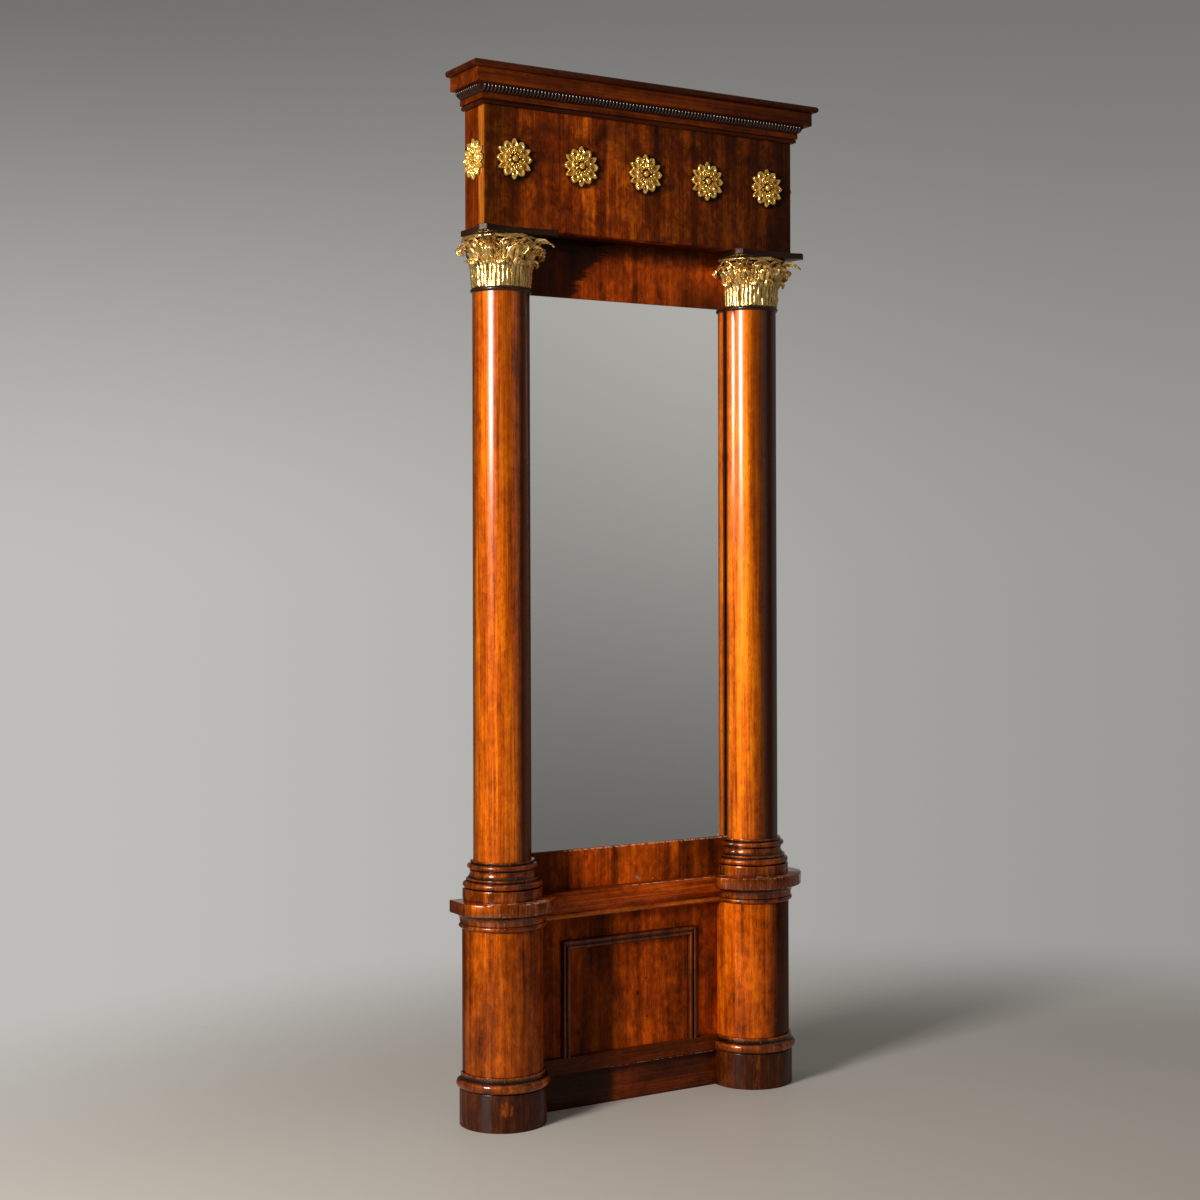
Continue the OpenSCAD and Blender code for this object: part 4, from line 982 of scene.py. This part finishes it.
def row_tree(sheet, given):
    """Copies of an ornament in a row along x."""
    return row(sheet, given, ornament_of(sheet, given))


def ring(name, ornament, count, turn):
    """A ring of copies, the first turned by so many degrees; the ornament itself is used up."""
    values = {"Ornament": ornament, "Count": count, "Turn": math.radians(turn),
              "Step": math.tau / count, "Finish": GILT}
    whole = grown(name, ring_tree, values)
    bpy.data.objects.remove(ornament)
    whole.data.shade_smooth()
    return whole


# ---- Reeded band of the cornice ----

REED_FOOT, REED_HEAD, REED_RELIEF = 16 * MM, 28 * MM, 6.0 * MM
REED_PITCH = 8.7 * MM
REED_WIDTH = REED_PITCH * 0.76
STRIP_DEPTH = 31 * MM


def reed_tree(sheet, given):
    """Upright reeds in a row along x, standing forward of y = 0, feet at z = 0."""
    grid = sheet.node("GeometryNodeMeshGrid", None,
                      {"Size X": 2.0, "Size Y": 1.0, "Vertices X": 9, "Vertices Y": 8})
    across, up, _ = sheet.parts(sheet.node("GeometryNodeInputPosition"))
    up = up + 0.5
    crest = (1.0 - across * across).most(0.0).root()
    ends = 1.0 - abs(up * 2.0 - 1.0) ** 5.0
    swell = (up * (math.pi / 2)).sine()
    foot, head = given["Foot"], given["Head"]
    out = foot + (head - foot) * swell - given["Relief"] * (1.0 - crest * ends)
    shape = sheet.vector(across * given["Width"] * 0.5, -out, up * given["Height"])
    return row(sheet, given, sheet.node("GeometryNodeSetPosition", None, {0: grid, "Position": shape}))


def reeds(end):
    """The reeds on one face of the cornice."""
    low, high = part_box(f"cornice_reeds_{end}")
    if end == "front":
        length = FRIEZE_HIGH.x - FRIEZE_LOW.x + 2 * REED_FOOT
        turn = Matrix.Translation((0, FRIEZE_LOW.y, low.z))
    else:
        length = high.y - FRIEZE_LOW.y + REED_FOOT
        middle = high.y - length / 2
        face = FRIEZE_HIGH.x if end == "right" else FRIEZE_LOW.x
        quarter = math.radians(90 * SIDES[end])
        turn = Matrix.Translation((face, middle, low.z)) @ Matrix.Rotation(quarter, 4, "Z")
    count = int(length / REED_PITCH)
    values = {"Width": REED_WIDTH, "Height": high.z - low.z, "Pitch": REED_PITCH,
              "Foot": REED_FOOT, "Head": REED_HEAD, "Relief": REED_RELIEF, "Count": count,
              "Start": -REED_PITCH * (count - 1) / 2, "Finish": REED}
    band = grown(f"reeds_{end}", reed_tree, values)
    band.data.transform(turn)
    tidy(band, 50, 0.001 * MM, False)
    return band


def reed_core():
    """Mitred ground of the reeds, run round the front and both returns."""
    low, high = levels("cornice_reeds_front")
    section = [(REED_FOOT + (REED_HEAD - REED_FOOT) * math.sin(i / 10 * math.pi / 2)
                - REED_RELIEF + 0.3 * MM, low + (high - low) * i / 10) for i in range(11)]
    section += [(-STRIP_DEPTH, high), (-STRIP_DEPTH, low)]
    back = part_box("cornice_reeds_left")[1].y
    verts = []
    for side, at_wall in ((-1, True), (-1, False), (1, False), (1, True)):
        for out, z in section:
            x = FRIEZE_LOW.x - out if side < 0 else FRIEZE_HIGH.x + out
            verts.append((x, back if at_wall else FRIEZE_LOW.y - out, z))
    core = build("reed_ground", verts, skin(4, len(section)))
    tidy(core)
    return core


ground = reed_core()
ground_faces = len(ground.data.polygons)
reeding = joined("cornice_reeding", [reeds(end) for end in ENDS] + [ground])
seat(reeding, REED, "black_wood", "cornice_reeds_front", "cornice_reeds_left", "cornice_reeds_right")
reeding.data.materials.append(GROUND)
for face in reeding.data.polygons[-ground_faces:]:
    face.material_index = 1


# ---- Carving ----

def between(stops, t):
    """The stop before t, for even stops from 0 to 1, and how far t lies beyond it."""
    place = t * (len(stops) - 1)
    i = min(int(place), len(stops) - 2)
    return i, place - i


def lerp(stops, t):
    """Value between evenly spaced stops."""
    i, part = between(stops, t)
    return stops[i] + (stops[i + 1] - stops[i]) * part


def along(stops, t):
    """Point on a smooth curve through stops, each a pair."""
    i, s = between(stops, t)
    p0, p1, p2, p3 = (Vector(stops[max(0, min(len(stops) - 1, i + k))]) for k in (-1, 0, 1, 2))
    return 0.5 * (2 * p1 + (p2 - p0) * s + (2 * p0 - 5 * p1 + 4 * p2 - p3) * s * s
                  + (3 * p1 - p0 - 3 * p2 + p3) * s ** 3)


def thickened(name, points, cols, rows, thick):
    """A closed shell over a grid of points, thick inwards."""
    outside = quads(rows, cols, closed=False)
    sheet = build(name, points, outside)
    normals = [v.normal.copy() for v in sheet.data.vertices]
    bpy.data.objects.remove(sheet)
    size = len(points)
    behind = [Vector(p) - n * thick for p, n in zip(points, normals)]
    rim = (list(range(cols)) + [r * cols + cols - 1 for r in range(1, rows)]
           + [(rows - 1) * cols + c for c in range(cols - 2, -1, -1)]
           + [r * cols for r in range(rows - 2, 0, -1)])
    inside = [tuple(size + i for i in reversed(face)) for face in outside]
    edge = [(a, size + a, size + b, b) for a, b in zip(rim, rim[1:] + rim[:1])]
    piece = build(name, list(points) + behind, outside + inside + edge)
    tidy(piece, 70)
    return piece


def leaf(spine, half, pipes, relief, wrap, thick=3.0, lobes=0):
    """A carved leaf that faces -y. Its spine runs from foot to tip as (out, up), all sizes in mm."""
    cols, rows = 29, 30
    points = []
    for j in range(rows):
        v = j / (rows - 1)
        here = along(spine, v)
        ahead = along(spine, min(1.0, v + 0.01)) - along(spine, max(0.0, v - 0.01))
        ahead.normalize()
        notch = 1.0
        if lobes:
            notch = 0.72 + 0.28 * abs(math.sin(math.pi * (lobes * v + 0.35))) ** 0.6
        width = lerp(half, v) * notch
        round_r = lerp(wrap, v)
        deep = lerp(relief, v)
        for i in range(cols):
            u = 2 * i / (cols - 1) - 1
            angle = u * width / round_r
            place = (u + 1) / 2 * pipes
            rib = abs(math.sin(math.pi * place)) ** 0.7
            rib *= 0.82 + 0.5 * noise.noise(Vector((int(place) * 4.7, v * rows * 0.33, pipes)))
            vein = 0.5 * math.exp(-(u / 0.16) ** 2)
            lift = deep * (rib + vein) - round_r * (1 - math.cos(angle))
            out = here.x + ahead.y * lift
            up = here.y - ahead.x * lift
            points.append((round_r * math.sin(angle) * MM, -out * MM, up * MM))
    return thickened("leaf", points, cols, rows, thick * MM)


def tube(name, path, radius):
    """Round band along a path, closed at both ends. radius gives its thickness from 0 to 1 along it."""
    sides = 8
    verts = []
    last = len(path) - 1
    for k, spot in enumerate(path):
        here = Vector(spot)
        ahead = (Vector(path[min(last, k + 1)]) - Vector(path[max(0, k - 1)])).normalized()
        aside = ahead.cross(Vector((0, 0, 1))).normalized()
        over = aside.cross(ahead)
        r = radius(k / last)
        for i in range(sides):
            a = math.tau * i / sides
            verts.append(here + aside * r * math.cos(a) + over * r * math.sin(a))
    piece = build(name, verts, skin(len(path), sides))
    tidy(piece, 60)
    return piece


def knob(name, place, radius, flat=1.0, rings=8, sides=14):
    """A small boss of turned section, its axis along +z."""
    x, y, z = place
    verts = []
    for k in range(1, rings):
        a = math.pi * k / rings
        r = radius * math.sin(a)
        for i in range(sides):
            b = math.tau * i / sides
            verts.append((x + r * math.cos(b), y + r * math.sin(b), z - radius * flat * math.cos(a)))
    faces = quads(rings - 1, sides)
    foot = len(verts)
    verts += [(x, y, z - radius * flat), (x, y, z + radius * flat)]
    last = (rings - 2) * sides
    for i in range(sides):
        j = (i + 1) % sides
        faces += [(foot, j, i), (foot + 1, last + i, last + j)]
    piece = build(name, verts, faces)
    tidy(piece, 80)
    return piece


def hollows(mesh, sunk):
    """How deep each point lies in a hollow, 0 to 1. A piece that knows it already keeps it."""
    known = mesh.attributes.get(HOLLOW)
    if known:
        return [item.value for item in known.data]
    shell = bmesh.new()
    shell.from_mesh(mesh)
    shell.normal_update()
    raw = []
    for vert in shell.verts:
        bend = 0.0
        for edge in vert.link_edges:
            away = edge.other_vert(vert).co - vert.co
            if away.length > 1e-9:
                bend += away.normalized().dot(vert.normal)
        raw.append(bend / max(1, len(vert.link_edges)))
    calm = [0.5 * raw[v.index] + 0.5 * sum(raw[e.other_vert(v).index] for e in v.link_edges)
            / max(1, len(v.link_edges)) for v in shell.verts]
    shell.free()
    return [max(sunk, min(1.0, 0.28 + 1.9 * c)) for c in calm]


KNOCKS = [(1.5, 9.0), (1.2, 4.5), (0.9, 2.6)]    # height of the uneven places, and their size in mm


def gathered(name, parts, chased=0.9 * MM):
    """One gilt piece from parts, each with how deep it lies; chased is how uneven the carving is."""
    points, faces, depth = [], [], []
    for piece, sunk in parts:
        mesh = piece.data
        start = len(points)
        for vert in mesh.vertices:
            knocks = sum(k * noise.noise(vert.co / (size * MM)) for k, size in KNOCKS)
            point = vert.co + vert.normal * knocks * chased
            point.y = min(point.y, WALL)
            points.append(point)
        faces += [tuple(start + i for i in p.vertices) for p in mesh.polygons]
        depth += hollows(mesh, sunk)
        bpy.data.objects.remove(piece)
    whole = build(name, points, faces)
    deepened(whole, depth)
    smooth(whole.data, 70)
    return whole


# ---- Capitals ----

CAPITAL_LEAVES = [                     # ring, how many, turn of the first, and the leaf
    ("lower_leaves", 8, -31.0, {
        "spine": [(64, 1), (65, 20), (66, 38), (69, 50), (75, 56), (80, 53), (79, 47)],
        "half": [24.8, 25.0, 25.0, 24.4, 21.0, 15.0, 9.0], "pipes": 5, "thick": 2.4,
        "relief": [2.6, 2.8, 2.8, 2.9, 2.6, 2.0, 1.2], "wrap": [66, 66, 66, 60, 46, 34, 30]}),
    ("upper_leaves", 4, 0, {
        "spine": [(67, 46), (72, 60), (79, 75), (88, 85), (97, 82), (99, 73), (93, 67)],
        "half": [18, 22, 23, 22, 19, 15, 8], "pipes": 3, "thick": 3.2, "lobes": 4,
        "relief": [2.4, 4.0, 4.4, 4.2, 3.6, 2.8, 1.4], "wrap": [60, 56, 48, 40, 32, 26, 22]}),
    ("diagonal_leaves", 4, 45, {
        "spine": [(66, 50), (70, 62), (76, 74), (85, 84), (93, 84), (95, 76), (90, 70)],
        "half": [15, 19, 20, 19, 16, 12, 6], "pipes": 3, "lobes": 4,
        "relief": [2.2, 3.6, 4.2, 4.0, 3.4, 2.4, 1.2], "wrap": [60, 50, 42, 34, 28, 24, 20]}),
    ("filling_leaves", 8, 22.5, {
        "spine": [(65, 46), (69, 62), (75, 78), (82, 90), (88, 91), (88, 84)],
        "half": [12, 15, 16, 14, 11, 5], "pipes": 3, "lobes": 4,
        "relief": [2.2, 3.4, 3.8, 3.2, 2.4, 1.2], "wrap": [60, 50, 40, 32, 28, 24]}),
    ("corner_leaves", 4, 45, {
        "spine": [(66, 66), (74, 82), (84, 95), (95, 101), (107, 98.5), (116, 93), (122, 88)],
        "half": [14, 18, 19, 17, 13, 8, 2.0], "pipes": 3, "lobes": 5,
        "relief": [2.2, 3.6, 4.0, 3.6, 2.8, 1.8, 0.6], "wrap": [46, 36, 28, 24, 22, 20, 18]})]
SCROLL_EYES = ((11, 83, 80, 4.0), (49, 83, 81, 3.6))    # turn, out, up and radius of each eye
BELL = [(0, 61.0), (0, 62.5), (50, 62.5), (70, 65), (84, 70), (95, 77), (100, 79)]
LIP_HEIGHT, LIP_REACH = 9 * MM, 86 * MM


def about(turn, out, up):
    """A place on a capital by its turn from the corner in degrees, and out and up in mm."""
    a = math.radians(turn)
    return out * MM * math.sin(a), -out * MM * math.cos(a), up * MM


def scroll(sign):
    """A scroll under the abacus, beside the corner that faces -y."""
    path = []
    for k in range(25):
        t = k / 24
        crest = math.sin(math.pi * t)
        path.append(about(sign * (11 + 40 * t), 82 + 5.0 * crest, 79 + 23.0 * crest ** 0.7))
    return tube("scroll", path, lambda t: (1.6 + 1.2 * math.sin(math.pi * t)) * MM)


def cut(shell, place, normal, off=False):
    """Parts a shell along a plane, and takes off what lies beyond it if asked to."""
    everything = shell.verts[:] + shell.edges[:] + shell.faces[:]
    bmesh.ops.bisect_plane(shell, geom=everything, plane_co=place, plane_no=normal, clear_outer=off)


def filled(shell):
    """Closes what a cut has opened."""
    rims = [edge for edge in shell.edges if edge.is_boundary]
    if rims:
        bmesh.ops.holes_fill(shell, edges=rims, sides=0)


def housed(piece, side):
    """Cuts off what would run into the wall, or into the upper rail beside the capital."""
    rail_x = COLUMN_X - HOUSING_X
    rail_y = front("top_rail")
    with opened(piece.data) as shell:
        cut(shell, (0, WALL, 0), (0, 1, 0), True)
        filled(shell)
    with opened(piece.data) as shell:
        cut(shell, (side * rail_x, 0, 0), (1, 0, 0))
        cut(shell, (0, rail_y, 0), (0, 1, 0))
        middles = [(face, face.calc_center_median()) for face in shell.faces]
        gone = [face for face, middle in middles if middle.x * side < rail_x and middle.y > rail_y]
        bmesh.ops.delete(shell, geom=gone, context="FACES")
        filled(shell)


def capital(word, side):
    """Gilt capital: ribbed lower leaves, curled upper leaves, corner leaves and scrolls."""
    low, high = levels(f"capital_{word}")
    carved = [ring(name, leaf(**shape), count, turn) for name, count, turn, shape in CAPITAL_LEAVES]
    carved.append(ring("left_scrolls", scroll(1), 4, 45))
    carved.append(ring("right_scrolls", scroll(-1), 4, 45))
    for sign in (-1, 1):
        for turn, out, up, r in SCROLL_EYES:
            carved.append(ring("eyes", knob("eye", about(sign * turn, out, up), r * MM), 4, 45))
    place = Matrix.Translation((side * COLUMN_X, COLUMN_Y, low))
    for piece in carved:
        piece.data.transform(place)
        housed(piece, side)
    rail = front("top_rail") - FIT
    tall = high - low
    nose = torus(tall - LIP_HEIGHT, tall, LIP_REACH)
    bell = loft("bell", side, [(low + z * MM, plan(r * MM, rail)) for z, r in BELL])
    lip = loft("lip", side, [(low + z, plan(r, rail)) for z, r in nose])
    parts = [(piece, 0.0) for piece in carved]
    return gathered(f"gilt_capital_{word}", parts + [(bell, 0.85), (lip, 0.0)])


for word, side in SIDES.items():
    seat(capital(word, side), GILT, "gilding", f"capital_{word}")


def abacus(word, side):
    """Black plate with cut horns and hollowed sides."""
    low, high = levels(f"abacus_{word}")
    half, horn, hollow = 97.4 * MM, 84.6 * MM, 13 * MM
    round_r = (horn ** 2 + hollow ** 2) / (2 * hollow)
    sweep = math.asin(horn / round_r)
    rail_y = front("top_rail") - COLUMN_Y - FIT
    front_edge = [(round_r * math.sin(a), round_r * math.cos(a) - (half - hollow + round_r))
                  for a in [sweep * (i / 12 - 1) for i in range(25)]]
    left_edge = [(y, -x) for x, y in front_edge if -x < BACK]
    right_edge = [(-y, x) for x, y in front_edge if x < rail_y]
    outline = left_edge + front_edge + right_edge
    outline = [(outline[0][0], BACK)] + outline + [(outline[-1][0], rail_y)]
    outline += [(HOUSING_X, rail_y), (HOUSING_X, BACK)]
    plate = loft(f"column_abacus_{word}", side, [(low, outline), (high, outline)])
    bevelled(plate, 1.4 * MM)
    return plate


for word, side in SIDES.items():
    seat(abacus(word, side), HORN, "black_wood", f"abacus_{word}")


# ---- Rosettes ----

def relief_disc(name, centre, outline, heights, around):
    """A carved disc: outline gives its radius by angle, heights its relief in mm from middle to rim."""
    verts = [(centre, 0, heights[0] * MM)]
    rings = len(heights) - 1
    for k in range(1, rings + 1):
        for i in range(around):
            a = math.tau * i / around
            r = outline(a) * k / rings
            verts.append((centre + r * math.cos(a), r * math.sin(a), heights[k] * MM))
    faces = [(0, 1 + i, 1 + (i + 1) % around) for i in range(around)]
    faces += quads(rings, around, 1)
    faces.append(tuple(1 + (rings - 1) * around + i for i in range(around)))
    piece = build(name, verts, faces)
    with opened(piece.data) as shell:
        bmesh.ops.recalc_face_normals(shell, faces=shell.faces)
    return piece


def petal(name, centre, length, width, tip, heights, around=28):
    """A hollowed petal on the x axis, sizes in mm: rim high, a rib along its middle."""
    def edge(a):
        oval = 1 / math.sqrt((math.cos(a) / length) ** 2 + (math.sin(a) / width) ** 2)
        return (oval + tip * max(0.0, math.cos(a)) ** 16) * MM

    piece = relief_disc(name, centre * MM, edge, heights, around)
    for vert in piece.data.vertices:
        if vert.co.z > 0.5 * MM:
            across = abs(vert.co.y) / (width * MM)
            vert.co.z += 1.8 * MM * math.exp(-(across / 0.16) ** 2)
    # the lower a point lies in the petal, the darker its gilding: dirty patina and painted shade
    deepened(piece, [max(0.0, 0.92 - vert.co.z / (6.8 * MM)) for vert in piece.data.vertices])
    return piece


PETAL_RIM = [2.6, 2.6, 2.8, 3.4, 4.8, 6.8, 7.4, 6.2, 0.0]
SMALL_RIM = [5.4, 5.4, 5.8, 7.2, 8.8, 8.2, 0.0]
DISH_RIM = [1.6, 1.6, 1.6, 1.8, 3.4, 5.2, 5.6, 5.0, 4.4, 3.8, 3.2, 0.0]


def rosette():
    """One rosette that faces +z, its back at z = 0."""
    broad = petal("broad", 29.4, 12.8, 10.4, 1.2, PETAL_RIM)
    spear = petal("spear", 30.2, 12.8, 7.6, 2.8, [h * 0.9 for h in PETAL_RIM])
    small = petal("small", 18.0, 8.4, 5.2, 1.2, SMALL_RIM, 20)
    dish = relief_disc("dish", 0, lambda a: 25 * MM, DISH_RIM, 48)
    boss = knob("boss", (0, 0, 6.8 * MM), 7.2 * MM, 0.98, 10, 20)
    # the dish is set deep, so its gilding is darker: dirty patina and painted shade
    parts = [(ring("broad_petals", broad, 6, 0), 0.0), (ring("pointed_petals", spear, 6, 30), 0.0),
             (ring("inner_petals", small, 10, 18), 0.0), (dish, 0.62), (boss, 0.0)]
    return gathered("rosette", parts, 0.0)


def rosettes():
    """Five rosettes on the front of the frieze and one on each return."""
    model = rosette()
    model.data.transform(Matrix.Rotation(math.radians(90), 4, "X"))
    values = {"Ornament": model, "Count": ROSETTES, "Start": -ROSETTE_PITCH * (ROSETTES - 1) / 2,
              "Pitch": ROSETTE_PITCH, "Finish": GILT}
    face = grown("front_rosettes", row_tree, values)
    face.data.transform(Matrix.Translation((0, FRIEZE_LOW.y, ROSETTE_Z)))
    pieces = [face]
    for sign, x in ((-1, FRIEZE_LOW.x), (1, FRIEZE_HIGH.x)):
        copy = placed("return_rosette", model.data.copy())
        copy.data.transform(Matrix.Translation((x, WALL - 46.5 * MM, ROSETTE_Z))
                            @ Matrix.Rotation(math.radians(sign * 90), 4, "Z"))
        pieces.append(copy)
    bpy.data.objects.remove(model)
    return gathered("gilt_rosettes", [(piece, 0.0) for piece in pieces], 0.6 * MM)


seat(rosettes(), ROSE_GILT, "gilding", "rosettes")


# ---- Inner pieces keep their form and get a finish ----

def dress(finish, *names):
    """Gives a finish to pieces of the frame itself."""
    for name in names:
        for slot in NODES[name].material_slots:
            slot.material = finish


dress(SILVER, "mirror_glass")
dress(PINE, "back_boards", "frieze_back", "glue_blocks", "dowels", "glass_blocks")
dress(PINE_UP, "stile_left", "stile_right")
# the soffit gets the dark top wood so it reads dark under the frieze: painted shade
dress(TOP, "frieze_soffit")
dress(IRON, "hanging_plates", "plate_screws")


# ---- Light ----

LAMP_PLACE, LAMP_AIM = (-3.9, -1.33, 2.24), (0.0, 0.0, 1.35)
lamp = bpy.data.lights.new("window_left", "AREA")
lamp.shape = "RECTANGLE"
lamp.size, lamp.size_y = 0.90, 1.15
lamp.energy = 215
lamp.color = (1.0, 0.955, 0.91)
shining = (Vector(LAMP_AIM) - Vector(LAMP_PLACE)).to_track_quat("-Z", "Y").to_matrix().to_4x4()
placed("window_left", lamp).matrix_world = Matrix.Translation(LAMP_PLACE) @ shining


def studio(sky):
    """How bright the plain room is in each direction."""
    slant, square = 0.515, 0.857       # sine and cosine of the turn of the studio, 31 degrees
    east, north, up = sky.parts(sky.node("ShaderNodeTexCoord"))
    flat = (east * east + north * north).root().most(0.02)
    # the backdrop behind the mirror: pale low down, darker above, more even to the right
    right = ((east * square - north * slant) / flat).rise(-0.32, 0.34)
    backdrop = (0.53 - right * 0.20) * (1 - up.rise(-0.02, 0.34) * (0.76 - right * 0.26))
    behind = ((east * slant + north * square) / flat).rise(0.84, 0.94)
    # the part of the room that the plate mirrors
    glass_side = up.rise(-0.22, 0.20) * (0.38 + east.rise(0.46, 0.58) * 0.06) + 0.13
    facing = ((east * slant - north * square) / flat).rise(0.968, 0.988) * (1 - up.rise(0.30, 0.50))
    # the rest of it: a side wall on the right and a pale ceiling
    side_wall = (east / flat).rise(0.90, 0.99) * 0.16
    room = 0.055 + side_wall + up.rise(0.55, 0.95) * 0.36
    return (room * (1 - facing) + glass_side * facing) * (1 - behind) + backdrop * behind


world = bpy.data.worlds.new("studio")
bpy.context.scene.world = world
world.use_nodes = True
room_light = Sheet(world.node_tree)
level = studio(room_light)
glow = room_light.node("ShaderNodeCombineColor", None, {0: level, 1: level * 0.975, 2: level * 0.93})
room_light.feed(world.node_tree.nodes["Background"].inputs["Color"], glow)
bpy.context.scene.view_settings.view_transform = "Standard"


# ---- Floor ----

FLOOR_R, FLOOR_Y = 3.2, -1.2


def floor():
    """Round pale floor that fades out into the backdrop."""
    turns = [math.tau * i / 48 for i in range(48)]
    rim = [(FLOOR_R * math.cos(a), FLOOR_Y + FLOOR_R * math.sin(a), 0) for a in turns]
    disc = build("studio_floor", rim, [tuple(range(len(rim)))])
    f = Finish("pale_floor")
    cloud = f.noise((500, 500, 500), 2.0, 3.0, 0.5)
    faded_out = f.away((0, FLOOR_Y, 0)).rise(1.6, 3.1)
    f.coat(Base_Color=f.blend(cloud * 0.3, (0.53, 0.50, 0.455), (0.48, 0.455, 0.41)),
           Roughness=0.55, Alpha=1 - faded_out)
    disc.data.materials.append(f.material)


floor()


# ---- Camera, as calibrated from the photograph's view ----

camera = bpy.data.cameras.new("camera")
camera.lens = 58.652
camera.sensor_width = 36
camera.shift_y = -0.03388
CAMERA_PLACE = (-2.36103, -3.75368, 1.23502)
CAMERA_TURN, CAMERA_ROLL = -30.983, -0.148
viewer = placed("camera", camera)
viewer.matrix_world = (Matrix.Translation(CAMERA_PLACE)
                       @ Matrix.Rotation(math.radians(CAMERA_TURN), 4, "Z")
                       @ Matrix.Rotation(math.radians(90), 4, "X")
                       @ Matrix.Rotation(math.radians(CAMERA_ROLL), 4, "Z"))
bpy.context.scene.camera = viewer
